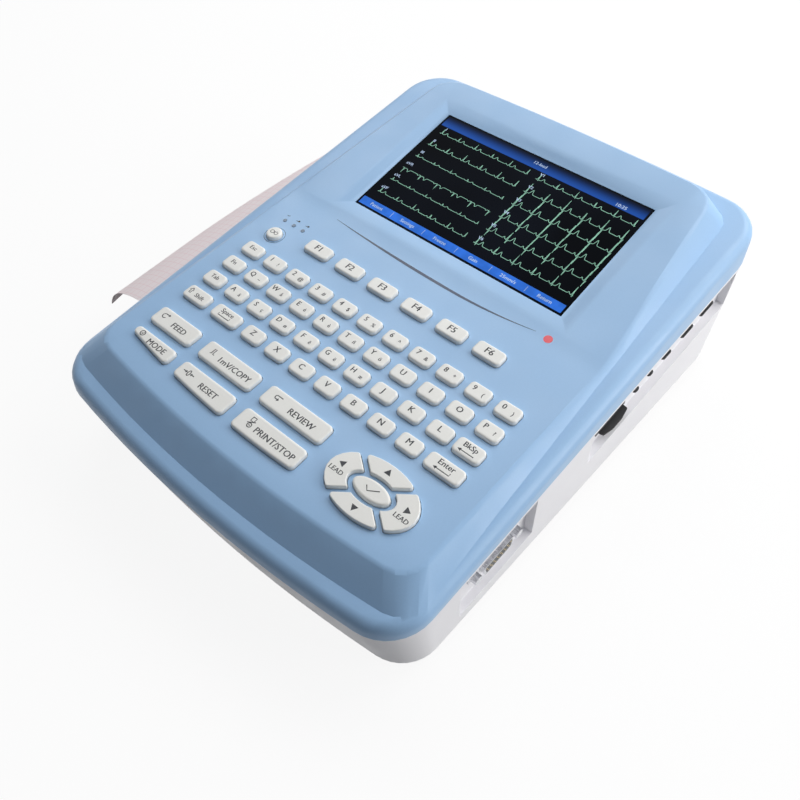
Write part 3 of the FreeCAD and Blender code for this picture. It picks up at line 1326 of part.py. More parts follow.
def make_inlet():
    """Three-pin mains inlet: flanged body, keyed cavity and flat pins."""
    middle, height = dim("inlet_across"), dim("inlet_height")
    half_width, half_height, bevel = 12.2, 8.3, 5.0
    mouth = dim("inlet_face")
    depth = 16.0
    ring = [(-half_width, half_height), (half_width, half_height), (half_width, -half_height + bevel),
            (half_width - bevel, -half_height), (-half_width + bevel, -half_height),
            (-half_width, -half_height + bevel)]
    points = [Vector(middle + x, mouth - depth, height + z) for x, z in ring]
    cavity = Part.Face(Part.makePolygon(points + points[:1])).extrude(Vector(0, depth + 1, 0))
    housing = fuse("inlet_housing", [
        block("inlet_flange", ("flange_width", "flange_plate", "flange_height"),
              ("inlet_across - flange_width / 2", "inlet_face - flange_plate",
               "inlet_height - flange_height / 2")),
        block("inlet_body", ("inlet_width", "inlet_depth - 1", "inlet_tall"),
              ("inlet_across - inlet_width / 2", "inlet_face - inlet_depth",
               "inlet_height - inlet_tall / 2")),
    ])
    pins = [block(f"inlet_pin_{index}", ("2", "14.5", "4"),
                  (f"inlet_across + {x} - 1", "inlet_face - 17", f"inlet_height + {z} - 2"))
            for index, (x, z) in enumerate((("-7", "0"), ("0", "4"), ("7", "0")))]
    hollow = cut("inlet_hollow", housing, formed("inlet_cavity", cavity))
    table_node("ac_inlet", [fuse("inlet_parts", [hollow, *pins])])


def main():
    """Build every sub-part, check it and write its solid."""
    openings = make_keys()
    make_cover(openings)
    make_key_boards()
    shell = make_base()
    make_feet_and_screws()
    make_drawer(shell)
    make_recorder()
    make_electronics()
    make_sockets()
    DOC.recompute()
    failed = [item.Name for item in DOC.Objects if {"Invalid", "Error"} & set(item.State)]
    bad = [part.Label for part in NODES
           if part.Shape.isNull() or not part.Shape.isValid() or not part.Shape.Solids]
    if failed or bad:
        raise SystemExit(f"failed objects: {failed}; bad shapes: {bad}")
    os.makedirs("parts", exist_ok=True)
    for part in NODES:
        part.Shape.exportStep(os.path.join("parts", f"{part.Label}.step"))
    print(f"{len(NODES)} sub-parts written")


if __name__ == "__main__":
    main()
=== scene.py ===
"""Looks of a desktop ECG machine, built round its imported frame. Lengths are in millimetres unless said."""

import json
import logging
import math
from dataclasses import dataclass, field
from enum import Enum
from typing import Any

import bmesh
import bpy
from mathutils import Matrix, Vector

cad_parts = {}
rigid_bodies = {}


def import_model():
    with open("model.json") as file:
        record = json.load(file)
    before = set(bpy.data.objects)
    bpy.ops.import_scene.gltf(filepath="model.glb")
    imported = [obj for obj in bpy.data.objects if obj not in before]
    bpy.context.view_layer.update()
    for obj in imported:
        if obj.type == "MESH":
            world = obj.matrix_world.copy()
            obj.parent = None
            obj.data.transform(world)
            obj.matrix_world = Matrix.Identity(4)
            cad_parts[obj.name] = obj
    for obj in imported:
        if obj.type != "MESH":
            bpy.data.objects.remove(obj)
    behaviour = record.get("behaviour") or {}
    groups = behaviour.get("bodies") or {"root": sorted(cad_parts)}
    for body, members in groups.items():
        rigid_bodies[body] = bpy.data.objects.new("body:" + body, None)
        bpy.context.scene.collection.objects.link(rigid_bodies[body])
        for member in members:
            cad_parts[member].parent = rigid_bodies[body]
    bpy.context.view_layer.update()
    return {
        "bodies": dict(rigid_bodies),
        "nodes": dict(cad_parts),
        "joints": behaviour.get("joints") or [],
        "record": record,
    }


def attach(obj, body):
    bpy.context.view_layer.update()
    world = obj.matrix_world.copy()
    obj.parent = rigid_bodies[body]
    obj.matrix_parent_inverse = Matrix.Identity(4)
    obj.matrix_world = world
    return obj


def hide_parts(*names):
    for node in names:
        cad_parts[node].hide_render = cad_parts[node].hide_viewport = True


LOG = logging.getLogger("ecg_machine")
CASE = "case"
MM = 0.001
Point = tuple[float, float]
Place = tuple[float, float, float]
Colour = tuple[float, float, float]

# The leaning keyboard deck, and the display's wedge that rises behind it
DECK_PLACE = (29.6, -0.2, 86.0)
DECK_TILT = math.radians(6.0)
WEDGE_START = 12.0
WEDGE_TILT = math.radians(6.5)
WEDGE_EASE = 6.0
TABLE = Matrix.Scale(MM, 4)
DECK = TABLE @ Matrix.Translation(DECK_PLACE) @ Matrix.Rotation(DECK_TILT, 4, "X")
WEDGE = DECK @ Matrix.Translation((0.0, WEDGE_START, 0.0)) @ Matrix.Rotation(WEDGE_TILT, 4, "X")


# Node trees

class Axis(Enum):
    """Object coordinate that a pattern is measured along."""

    ACROSS = "X"
    ALONG = "Y"


class Signal:
    """One value of a node tree, with arithmetic."""

    def __init__(self, graph: "Graph", socket: bpy.types.NodeSocket) -> None:
        """Keep the tree and the socket."""
        self.graph = graph
        self.socket = socket

    def _math(self, operation: str, *values: "Signal | float") -> "Signal":
        """Result of one operation on its values."""
        node = self.graph.node("ShaderNodeMath", {"operation": operation}, dict(enumerate(values)))
        return Signal(self.graph, node.outputs[0])

    def __add__(self, other: "Signal | float") -> "Signal":
        """Sum of two values."""
        return self._math("ADD", self, other)

    def __sub__(self, other: "Signal | float") -> "Signal":
        """Difference of two values."""
        return self._math("SUBTRACT", self, other)

    def __rsub__(self, other: float) -> "Signal":
        """Difference of a number and this value."""
        return self._math("SUBTRACT", other, self)

    def __mul__(self, other: "Signal | float") -> "Signal":
        """Product of two values."""
        return self._math("MULTIPLY", self, other)

    __radd__ = __add__
    __rmul__ = __mul__

    def fraction(self) -> "Signal":
        """Part after the decimal point."""
        return self._math("FRACT", self)

    def largest(self, other: "Signal") -> "Signal":
        """The greater of two values."""
        return self._math("MAXIMUM", self, other)

    def ramp(self, low: float, high: float, start: float = 0.0, end: float = 1.0) -> "Signal":
        """Smooth change while the value goes from low to high.

        Args:
            low: Value where the change starts.
            high: Value where it ends.
            start: Result up to low.
            end: Result from high on.

        Returns:
            The changing result.
        """
        sockets = {"Value": self, "From Min": low, "From Max": high, "To Min": start, "To Max": end}
        node = self.graph.node("ShaderNodeMapRange", {"interpolation_type": "SMOOTHSTEP"}, sockets)
        return Signal(self.graph, node.outputs["Result"])


class Graph:
    """Node tree of a material or of the world."""

    def __init__(self, tree: bpy.types.NodeTree) -> None:
        """Keep the tree."""
        self.tree = tree

    def feed(self, target: bpy.types.NodeSocket, value: Any) -> None:
        """Give an input its value.

        Args:
            target: The input.
            value: A number, colour or vector, or a signal or socket to link to it.
        """
        source = value.socket if isinstance(value, Signal) else value
        if isinstance(source, bpy.types.NodeSocket):
            self.tree.links.new(source, target)
        else:
            target.default_value = source

    def node(self, kind: str, settings: dict[str, Any] | None = None,
             sockets: dict[str | int, Any] | None = None) -> bpy.types.Node:
        """Add one node.

        Args:
            kind: Name of the node's type.
            settings: Its properties, which are set first.
            sockets: Value or link of each input.

        Returns:
            The new node.
        """
        made = self.tree.nodes.new(kind)
        for name, value in (settings or {}).items():
            setattr(made, name, value)
        for name, value in (sockets or {}).items():
            self.feed(made.inputs[name], value)
        return made

    def seen_rays(self) -> Signal:
        """Tell rays that see a surface from the light that it throws on pieces.

        Returns:
            1 for rays of the camera, of reflections and of glass, 0 for the others.
        """
        path = self.node("ShaderNodeLightPath")
        camera, glossy, glass = (Signal(self, path.outputs[f"Is {ray} Ray"])
                                 for ray in ("Camera", "Glossy", "Transmission"))
        return camera.largest(glossy).largest(glass)


class Look(Graph):
    """Procedural material on object coordinates."""

    def __init__(self, name: str, colour: Colour, roughness: float, metallic: float = 0.0,
                 gloss: float = 0.5) -> None:
        """Start a material from the usual surface shader.

        Args:
            name: The material's name.
            colour: Base colour where nothing varies it.
            roughness: Roughness where nothing varies it.
            metallic: 1 for metal, 0 for anything else.
            gloss: Level of the mirror-like reflection.
        """
        self.material = bpy.data.materials.new(name)
        self.material.use_nodes = True
        super().__init__(self.material.node_tree)
        self.surface = self.tree.nodes["Principled BSDF"]
        self.set("Base Color", (*colour, 1.0))
        self.set("Roughness", roughness)
        self.set("Metallic", metallic)
        self.set("Specular IOR Level", gloss)
        self.coordinates = self.node("ShaderNodeTexCoord").outputs["Object"]

    def set(self, name: str, value: Any) -> None:
        """Give one input of the surface shader its value or link."""
        self.feed(self.surface.inputs[name], value)

    def axis(self, axis: Axis) -> Signal:
        """One object coordinate, in millimetres."""
        split = self.node("ShaderNodeSeparateXYZ", sockets={0: self.coordinates})
        return Signal(self, split.outputs[axis.value]) * (1 / MM)

    def noise(self, per_metre: float, stretch: Place = (1.0, 1.0, 1.0), detail: float = 2.0) -> Signal:
        """Cloudy value from 0 to 1.

        Args:
            per_metre: Features to the metre.
            stretch: Factor on that for each axis.
            detail: Octaves of finer clouds.

        Returns:
            The cloudy value.
        """
        spread = self.node("ShaderNodeMapping", sockets={"Scale": stretch, "Vector": self.coordinates})
        sockets = {"Scale": per_metre, "Detail": detail, "Vector": spread.outputs[0]}
        return Signal(self, self.node("ShaderNodeTexNoise", sockets=sockets).outputs["Fac"])

    def blend(self, low: Colour, high: Colour, share: Signal) -> bpy.types.NodeSocket:
        """Colour between two, by a share from 0 to 1."""
        sockets = {"A": (*low, 1.0), "B": (*high, 1.0), "Factor": share}
        return self.node("ShaderNodeMix", {"data_type": "RGBA"}, sockets).outputs["Result"]

    def relief(self, height: Signal, strength: float, depth: float) -> None:
        """Small bumps.

        Args:
            height: Their height from 0 to 1.
            strength: How much they turn the light.
            depth: Depth at a height of 1.
        """
        sockets = {"Strength": strength, "Distance": depth * MM, "Height": height}
        self.set("Normal", self.node("ShaderNodeBump", sockets=sockets).outputs["Normal"])


def shaded(colour: Colour, factor: float) -> Colour:
    """A colour made darker or lighter by a factor."""
    return tuple(channel * factor for channel in colour)


# Finishes

# Ranges of a noise value over which a finish changes, softly or with harder borders
SOFT = (0.3, 0.7)
HARD = (0.35, 0.65)


@dataclass(frozen=True)
class Moulded:
    """Moulded plastic or rubber: faint cloudiness, uneven sheen and a fine spark-eroded grain."""

    name: str
    colour: Colour
    roughness: float
    grain: float = 0.06
    spread: float = 0.05
    gloss: float = 0.5
    clouds_per_metre: float = 14.0
    specks_per_metre: float = 900.0
    speck_share: float = 0.3
    sheen_per_metre: float = 45.0
    shinier: float = 0.05
    duller: float = 0.06
    grains_per_metre: float = 2600.0
    grain_depth: float = 0.12

    def look(self) -> Look:
        """Make the material.

        Returns:
            The finished look.
        """
        look = Look(self.name, self.colour, self.roughness, gloss=self.gloss)
        clouds = look.noise(self.clouds_per_metre) * (1 - self.speck_share)
        cloud = clouds + look.noise(self.specks_per_metre) * self.speck_share
        pale, dark = shaded(self.colour, 1 + self.spread), shaded(self.colour, 1 - self.spread)
        look.set("Base Color", look.blend(dark, pale, cloud.ramp(*SOFT)))
        sheen = look.noise(self.sheen_per_metre)
        look.set("Roughness", sheen.ramp(*SOFT, self.roughness - self.shinier, self.roughness + self.duller))
        look.relief(look.noise(self.grains_per_metre, detail=1.0), self.grain, self.grain_depth)
        return look


@dataclass(frozen=True)
class Drawn:
    """Drawn or plated metal with fine lines along one axis."""

    name: str
    colour: Colour
    roughness: float
    stretch: Place = (1.0, 12.0, 12.0)
    lines_per_metre: float = 220.0
    paler: float = 1.08
    darker: float = 0.88
    shinier: float = 0.06
    duller: float = 0.1
    line_strength: float = 0.1
    line_depth: float = 0.05

    def look(self) -> Look:
        """Make the material.

        Returns:
            The finished look.
        """
        look = Look(self.name, self.colour, self.roughness, 1.0)
        lines = look.noise(self.lines_per_metre, self.stretch)
        pale, dark = shaded(self.colour, self.paler), shaded(self.colour, self.darker)
        look.set("Base Color", look.blend(dark, pale, lines.ramp(*HARD)))
        look.set("Roughness", lines.ramp(*SOFT, self.roughness - self.shinier, self.roughness + self.duller))
        look.relief(lines, self.line_strength, self.line_depth)
        return look


@dataclass(frozen=True)
class ChartPaper:
    """Pale pink thermal paper with a printed square grid, bold every 5 mm and thin every 1 mm."""

    sheet: Colour = (0.97, 0.87, 0.88)
    print_colour: Colour = (0.85, 0.5, 0.53)
    bold_pitch: float = 5.0
    bold_width: float = 0.35
    thin_pitch: float = 1.0
    thin_width: float = 0.14
    thin_share: float = 0.35
    print_share: float = 0.45
    roughness: float = 0.75
    fibres_per_metre: float = 1500.0
    fibre_strength: float = 0.05
    fibre_depth: float = 0.05

    @staticmethod
    def lines(axis: Signal, pitch: float, width: float) -> Signal:
        """1 on printed lines a pitch apart, 0 between them."""
        place = (axis * (1 / pitch)).fraction() - 0.5
        return (place * place).ramp((0.5 - width / pitch) ** 2, 0.5 ** 2)

    def look(self) -> Look:
        """Make the material.

        Returns:
            The finished look.
        """
        look = Look("chart_paper", self.sheet, self.roughness)
        across, along = look.axis(Axis.ACROSS), look.axis(Axis.ALONG)
        grids = ((self.bold_pitch, self.bold_width), (self.thin_pitch, self.thin_width))
        bold, thin = (self.lines(across, *grid).largest(self.lines(along, *grid)) for grid in grids)
        printed = bold.largest(thin * self.thin_share) * self.print_share
        look.set("Base Color", look.blend(self.sheet, self.print_colour, printed))
        look.relief(look.noise(self.fibres_per_metre), self.fibre_strength, self.fibre_depth)
        return look


@dataclass(frozen=True)
class ScreenFace:
    """Black display with a faint cold cast."""

    dark: Colour = (0.001, 0.002, 0.004)
    pale: Colour = (0.004, 0.006, 0.012)
    shiny: float = 0.1
    dull: float = 0.16
    gloss: float = 0.01
    clouds_per_metre: float = 9.0
    sheen_per_metre: float = 30.0

    def look(self) -> Look:
        """Make the material.

        Returns:
            The finished look.
        """
        look = Look("screen_face", self.dark, self.dull, gloss=self.gloss)
        cloud = look.noise(self.clouds_per_metre).ramp(*HARD)
        look.set("Base Color", look.blend(self.dark, self.pale, cloud))
        look.set("Roughness", look.noise(self.sheen_per_metre).ramp(*SOFT, self.shiny, self.dull))
        return look


@dataclass(frozen=True)
class Lit:
    """Lit picture element of the display."""

    name: str
    colour: Colour
    strength: float
    roughness: float = 0.3
    gloss: float = 0.02
    unlit: float = 0.15
    dimmer: float = 0.75
    clouds_per_metre: float = 140.0

    def look(self) -> Look:
        """Make the material.

        Returns:
            The finished look.
        """
        look = Look(self.name, shaded(self.colour, self.unlit), self.roughness, gloss=self.gloss)
        cloud = look.noise(self.clouds_per_metre).ramp(*SOFT)
        look.set("Emission Color", look.blend(shaded(self.colour, self.dimmer), self.colour, cloud))
        look.set("Emission Strength", self.strength)
        return look


@dataclass(frozen=True)
class TitleGlow:
    """Blue title band that fades to black between two places along the table."""

    low: float
    high: float
    blue: Colour = (0.012, 0.075, 0.36)
    black: Colour = (0.0, 0.003, 0.012)
    unlit: Colour = (0.0, 0.002, 0.01)
    roughness: float = 0.25
    gloss: float = 0.02

    def look(self) -> Look:
        """Make the material.

        Returns:
            The finished look.
        """
        look = Look("title_glow", self.unlit, self.roughness, gloss=self.gloss)
        fade = look.axis(Axis.ALONG).ramp(self.low, self.high)
        look.set("Emission Color", look.blend(self.blue, self.black, fade))
        look.set("Emission Strength", 1.0)
        return look


class Looks:
    """Every material that more than one piece may wear, made once."""

    def __init__(self) -> None:
        """Make the materials."""
        self.cover = Moulded("cover_blue", (0.33, 0.525, 0.78), 0.36, 0.05, 0.025, 0.35).look()
        self.case = Moulded("case_white", (0.88, 0.875, 0.905), 0.48, 0.07, 0.02).look()
        self.key = Moulded("key_cream", (0.84, 0.835, 0.80), 0.42, 0.03, 0.02).look()
        self.ink = Moulded("legend_ink", (0.018, 0.02, 0.026), 0.6, 0.02, 0.3).look()
        self.trim = Moulded("trim_navy", (0.012, 0.03, 0.075), 0.4, 0.02, 0.2).look()
        self.red = Moulded("trim_red", (0.78, 0.06, 0.09), 0.35, 0.02, 0.08).look()
        self.lens = Moulded("lens_tint", (0.06, 0.12, 0.2), 0.2, 0.0, 0.1).look()
        self.black = Moulded("socket_black", (0.018, 0.018, 0.02), 0.45, 0.08, 0.2).look()
        self.rubber = Moulded("foot_rubber", (0.05, 0.05, 0.053), 0.7, 0.12, 0.2).look()
        self.nylon = Moulded("gear_nylon", (0.8, 0.79, 0.73), 0.5, 0.05, 0.04).look()
        self.board = Moulded("board_green", (0.02, 0.12, 0.055), 0.4, 0.05, 0.2).look()
        self.wrap = Moulded("battery_wrap", (0.04, 0.09, 0.27), 0.3, 0.03, 0.1).look()
        self.sheet = Drawn("sheet_steel", (0.58, 0.59, 0.6), 0.35).look()
        self.shell = Drawn("socket_shell", (0.62, 0.63, 0.66), 0.28).look()
        self.brass = Drawn("stud_brass", (0.78, 0.6, 0.3), 0.3, (12.0, 1.0, 12.0)).look()
        self.alloy = Drawn("head_alloy", (0.75, 0.76, 0.77), 0.38).look()
        self.paper = ChartPaper().look()
        self.screen = ScreenFace().look()
        self.trace = Lit("trace_green", (0.33, 0.66, 0.5), 0.85).look()
        self.caption = Lit("screen_words", (0.55, 0.7, 0.95), 0.8).look()
        self.bar = Lit("key_bar_blue", (0.03, 0.16, 0.68), 1.0).look()


# Outlines

def corner_arc(corners: list[Point], index: int, radius: float, steps: int = 6) -> list[Point]:
    """Arc that turns one corner of an outline.

    Args:
        corners: The sharp outline.
        index: Which corner is turned.
        radius: Radius of the arc.
        steps: Flats of the arc.

    Returns:
        Points from the side before the corner to the side after it.
    """
    here = Vector(corners[index])
    before = (Vector(corners[index - 1]) - here).normalized()
    after = (Vector(corners[(index + 1) % len(corners)]) - here).normalized()
    half = before.angle(after) / 2
    run = radius / math.tan(half)
    middle = here + (before + after).normalized() * (radius / math.sin(half))
    start, end = here + before * run - middle, here + after * run - middle
    turns = [start.lerp(end, step / steps).normalized() * radius for step in range(steps + 1)]
    return [(middle.x + turn.x, middle.y + turn.y) for turn in turns]


def rounded(corners: list[Point], radii: list[float]) -> list[Point]:
    """Closed outline with each corner turned in an arc.

    Args:
        corners: The sharp outline.
        radii: Radius at each corner, or 0 to keep it.

    Returns:
        The rounded outline.
    """
    outline = []
    for index, radius in enumerate(radii):
        outline += corner_arc(corners, index, radius) if radius else [corners[index]]
    return outline


def box_corners(middle: Point, width: float, depth: float) -> list[Point]:
    """Corners of a rectangle, from the front left one round to the back left one."""
    (x, y), right, top = middle, width / 2, depth / 2
    return [(x - right, y - top), (x + right, y - top), (x + right, y + top), (x - right, y + top)]


def box_outline(middle: Point, width: float, depth: float, radius: float) -> list[Point]:
    """Rectangle with round corners."""
    return rounded(box_corners(middle, width, depth), [radius] * 4)


def ellipse_outline(middle: Point, across: float, along: float, steps: int = 48) -> list[Point]:
    """Ellipse from its half axes."""
    turns = [2 * math.pi * step / steps for step in range(steps)]
    return [(middle[0] + across * math.cos(turn), middle[1] + along * math.sin(turn)) for turn in turns]


def arc_points(middle: Point, radius: float, first: float, last: float, steps: int = 12) -> list[Point]:
    """Points on an arc between two angles in degrees."""
    turns = [math.radians(first + (last - first) * step / steps) for step in range(steps + 1)]
    return [(middle[0] + radius * math.cos(turn), middle[1] + radius * math.sin(turn)) for turn in turns]


def set_at(points: list[Point], place: Point, size: float = 1.0) -> list[Point]:
    """A sign drawn round the origin, enlarged and set at a place."""
    return [(place[0] + x * size, place[1] + y * size) for x, y in points]


def drawn_in(outline: list[Point], depth: float) -> list[Point]:
    """Outline moved inwards.

    Args:
        outline: Closed outline, anticlockwise.
        depth: How far each side moves in, or out if it is negative.

    Returns:
        The moved outline, with as many points.
    """
    sharpest = 0.5
    moved = []
    for index, corner in enumerate(outline):
        here = Vector(corner)
        before = (here - Vector(outline[index - 1])).normalized()
        after = (Vector(outline[(index + 1) % len(outline)]) - here).normalized()
        inward = Vector((-before.y - after.y, before.x + after.x)).normalized()
        lean = max(sharpest, inward.dot(Vector((-after.y, after.x))))
        shifted = here + inward * (depth / lean)
        moved.append((shifted.x, shifted.y))
    return moved


# Meshes

# Angle in degrees up to which most pieces are smooth
USUAL_CREASE = 35.0


class Shape:
    """Mesh gathered in one frame's millimetres and turned into a piece that rides on a body."""

    # Shift of the second print of a letter, as a share of its size, and its height over the first
    BOLD = 0.02
    BOLD_LIFT = 0.004
    MERGE = 0.002

    def __init__(self, frame: Matrix) -> None:
        """Start an empty mesh."""
        self.frame = frame
        self.mesh = bmesh.new()

    def ring(self, points: list[Vector]) -> list[bmesh.types.BMVert]:
        """Vertices of one closed section."""
        return [self.mesh.verts.new(point) for point in points]

    def loft(self, sections: list[list[Vector]]) -> None:
        """Closed solid, raised section by section from its foot.

        Args:
            sections: Rings of as many points each, anticlockwise from above.
        """
        top = self.mesh.faces.new(self.ring(sections[0]))
        for section in sections[1:]:
            raised = bmesh.ops.extrude_face_region(self.mesh, geom=[top, *top.edges])
            top = next(item for item in raised["geom"] if isinstance(item, bmesh.types.BMFace))
            for vertex, point in zip(top.verts, section):
                vertex.co = point

    def rise(self, outline: list[Point], profile: list[Point]) -> None:
        """Solid over an outline.

        Args:
            outline: Closed outline, anticlockwise.
            profile: How far the outline is drawn in, and at what height, from the foot up.
        """
        sections = [(drawn_in(outline, depth), height) for depth, height in profile]
        self.loft([[Vector((x, y, height)) for x, y in section] for section, height in sections])

    def slab(self, outline: list[Point], low: float, high: float) -> None:
        """Upright solid between two levels."""
        self.loft([[Vector((x, y, level)) for x, y in outline] for level in (low, high)])

    def round_opening(self, corners: list[Point], radii: list[float], low: float, high: float) -> None:
        """Fill the sharp corners of an opening, so that it is rounded.

        Args:
            corners: The opening's sharp outline.
            radii: Radius at each corner, or 0 to keep it.
            low: Lower level of the fill.
            high: Upper level of the fill.
        """
        for index, radius in enumerate(radii):
            if radius:
                self.slab([*corner_arc(corners, index, radius)[::-1], corners[index]], low, high)

    def flat(self, outline: list[Point], height: float) -> None:
        """Single flat face."""
        self.mesh.faces.new(self.ring([Vector((x, y, height)) for x, y in outline]))

    def stroke(self, points: list[Point], width: float, height: float, closed: bool = False) -> None:
        """Flat ribbon along a line."""
        self.ribbon([Vector((x, y, height)) for x, y in points], [width] * len(points), closed)

    def ribbon(self, points: list[Vector], widths: list[float], closed: bool = False) -> None:
        """Ribbon along a line, level across.

        Args:
            points: The line.
            widths: Width at each point.
            closed: Whether the end joins the start.
        """
        count = len(points)
        left, right = [], []
        for index, point in enumerate(points):
            before = points[index - 1] if closed or index else point
            after = points[(index + 1) % count] if closed or index < count - 1 else point
            run = (after - before).normalized()
            side = Vector((-run.y, run.x, 0.0)).normalized() * (widths[index] / 2)
            left.append(self.mesh.verts.new(point + side))
            right.append(self.mesh.verts.new(point - side))
        for index in range(count if closed else count - 1):
            after = (index + 1) % count
            self.mesh.faces.new((left[index], right[index], right[after], left[after]))

    def words(self, text: str, place: Point, size: float, height: float) -> None:
        """Flat lettering, printed twice with a small shift for bolder strokes.

        Args:
            text: The words.
            place: Their middle.
            size: Size of the letters.
            height: Level of the print.
        """
        curve = bpy.data.curves.new("lettering", "FONT")
        curve.body = text
        curve.size = size
        curve.align_x, curve.align_y = "CENTER", "CENTER"
        curve.resolution_u = 2
        holder = bpy.data.objects.new("lettering", curve)
        letters = bpy.data.meshes.new_from_object(holder)
        letters.transform(Matrix.Translation((place[0] - size * self.BOLD, place[1], height)))
        self.mesh.from_mesh(letters)
        letters.transform(Matrix.Translation((2 * size * self.BOLD, 0.0, self.BOLD_LIFT)))
        self.mesh.from_mesh(letters)
        bpy.data.objects.remove(holder)
        bpy.data.curves.remove(curve)
        bpy.data.meshes.remove(letters)

    def copy(self, node: bpy.types.Object) -> None:
        """Take over the faces of a CAD node, joined where they meet.

        Args:
            node: The CAD node's object.
        """
        back = self.frame.inverted()
        verts = [self.mesh.verts.new(back @ vertex.co) for vertex in node.data.vertices]
        for face in node.data.polygons:
            self.mesh.faces.new([verts[index] for index in face.vertices])
        bmesh.ops.remove_doubles(self.mesh, verts=self.mesh.verts, dist=self.MERGE)

    def piece(self, name: str, look: Look, body: str, crease: float) -> bpy.types.Object:
        """Finish the object.

        Args:
            name: The piece's name.
            look: Its material.
            body: Body it rides on.
            crease: Angle in degrees up to which it is smooth.

        Returns:
            The finished object, at the origin.
        """
        data = bpy.data.meshes.new(name)
        self.mesh.to_mesh(data)
        self.mesh.free()
        data.transform(self.frame)
        data.shade_smooth()
        data.set_sharp_from_angle(angle=math.radians(crease))
        data.materials.append(look.material)
        made = bpy.data.objects.new(name, data)
        bpy.context.scene.collection.objects.link(made)
        even = made.modifiers.new("even_shading", "WEIGHTED_NORMAL")
        even.keep_sharp = True
        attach(made, body)
        return made


@dataclass(kw_only=True)
class Assembly:
    """Sub-assembly that keeps its finished pieces."""

    looks: Looks
    made: list[bpy.types.Object] = field(default_factory=list, init=False)

    def finish(self, shape: Shape, name: str, look: Look, body: str = CASE,
               crease: float = USUAL_CREASE) -> bpy.types.Object:
        """Finish one piece and keep it."""
        self.made.append(shape.piece(name, look, body, crease))
        return self.made[-1]


# Keys

KEY_CORNER = 2.6
KEY_TOP = 2.5
LEGEND_HEIGHT = KEY_TOP + 0.03
FLANGE_LIP = 0.9
# How far a key is drawn in at each height above the deck: flange, straight side and soft top edge
KEY_PROFILE = [(-FLANGE_LIP, -3.8), (-FLANGE_LIP, -2.8), (0.0, -2.8), (0.0, 1.2), (0.1, 1.75), (0.38, 2.2),
               (0.85, 2.43), (1.5, KEY_TOP)]
# The narrower direction keys have a smaller top edge
NAV_EDGE = 0.43
NAV_PROFILE = [(min(depth, depth * NAV_EDGE), height) for depth, height in KEY_PROFILE]
KEY_PITCH = 19.0
ROW_PITCH = 15.3
NUMBER_ROW = -40.0
UPPER_ROW = NUMBER_ROW - ROW_PITCH
MIDDLE_ROW = UPPER_ROW - ROW_PITCH
LOWER_ROW = -86.1
POWER_PLACE = (-95.4, -22.1)
POWER_RADIUS = 5.0


@dataclass(frozen=True)
class Mark:
    """Lettering: its words, place and size."""

    text: str
    x: float = 0.0
    y: float = 0.0
    size: float = 4.6


@dataclass(frozen=True)
class Key:
    """Rectangular key: its place, width and legend. An arrow's head may end its last line."""

    middle: Point
    width: float
    marks: list[Mark]
    lines: tuple[list[Point], ...] = ()
    arrow: bool = False


@dataclass(frozen=True)
class KeyRow:
    """Row of equal keys: its place, the first key's place, and the legends with spaces between them."""

    row: float
    left: float
    texts: str


def lettered(text: str) -> list[Mark]:
    """Lay out the legend of a letter key.

    Args:
        text: One sign, a word, or a sign with a second one that is printed smaller.

    Returns:
        The legend, with places from the key's middle.
    """
    if len(text) > 2:
        return [Mark(text, 0.0, 0.6, 4.0)]
    if len(text) == 2 and text != "Fn":
        return [Mark(text[0], -3.0, 0.9, 4.6), Mark(text[1], 3.2, -0.4, 3.6)]
    return [Mark(text, -0.4, 0.5, 5.0 if len(text) == 1 else 4.2)]


LETTER_ROWS = {
    "number_row_keys": KeyRow(NUMBER_ROW, -95.0, "Esc 1! 2@ 3# 4$ 5% 6^ 7& 8* 9( 0)"),
    "upper_row_keys": KeyRow(UPPER_ROW, -95.0, "Fn Q~ Wå Eé Rè Tñ Yö U I O P?"),
    "middle_row_keys": KeyRow(MIDDLE_ROW, -95.0, "Tab Aä Sç Dø Fê Gë Hæ J K L"),
    "lower_row_keys": KeyRow(LOWER_ROW, -44.8, "Z X C V B N M"),
}
SHIFT_ARROW = [(-5.6, 2.4), (-4.2, 0.6), (-5.0, 0.6), (-5.0, -1.4), (-6.2, -1.4), (-6.2, 0.6), (-7.0, 0.6),
               (-5.6, 2.4)]
SPACE_LINE = [(-4.4, -0.9), (-4.4, -2.3), (4.4, -2.3), (4.4, -0.9)]
ENTER_LINE = [(4.6, -0.9), (4.6, -2.4), (-3.4, -2.4)]
ARROW_HEAD = [(-3.2, -3.4), (-3.2, -1.4), (-5.2, -2.4)]
WIDE_KEYS = {
    "shift_key": Key((-92.2, LOWER_ROW), 18.4, [Mark("Shift", 2.2, -0.6, 4.0)], (SHIFT_ARROW,)),
    "space_key": Key((-67.3, LOWER_ROW), 20.2, [Mark("Space", 0.0, 1.3, 4.2)], (SPACE_LINE,)),
    "enter_key": Key((91.4, LOWER_ROW), 22.0, [Mark("Enter", 0.4, 1.5, 4.6)], (ENTER_LINE,), True),
    "backspace_key": Key((94.2, MIDDLE_ROW), 16.6, [Mark("BkSp", 0.2, 1.5, 4.4)], (ENTER_LINE[1:],), True),
}


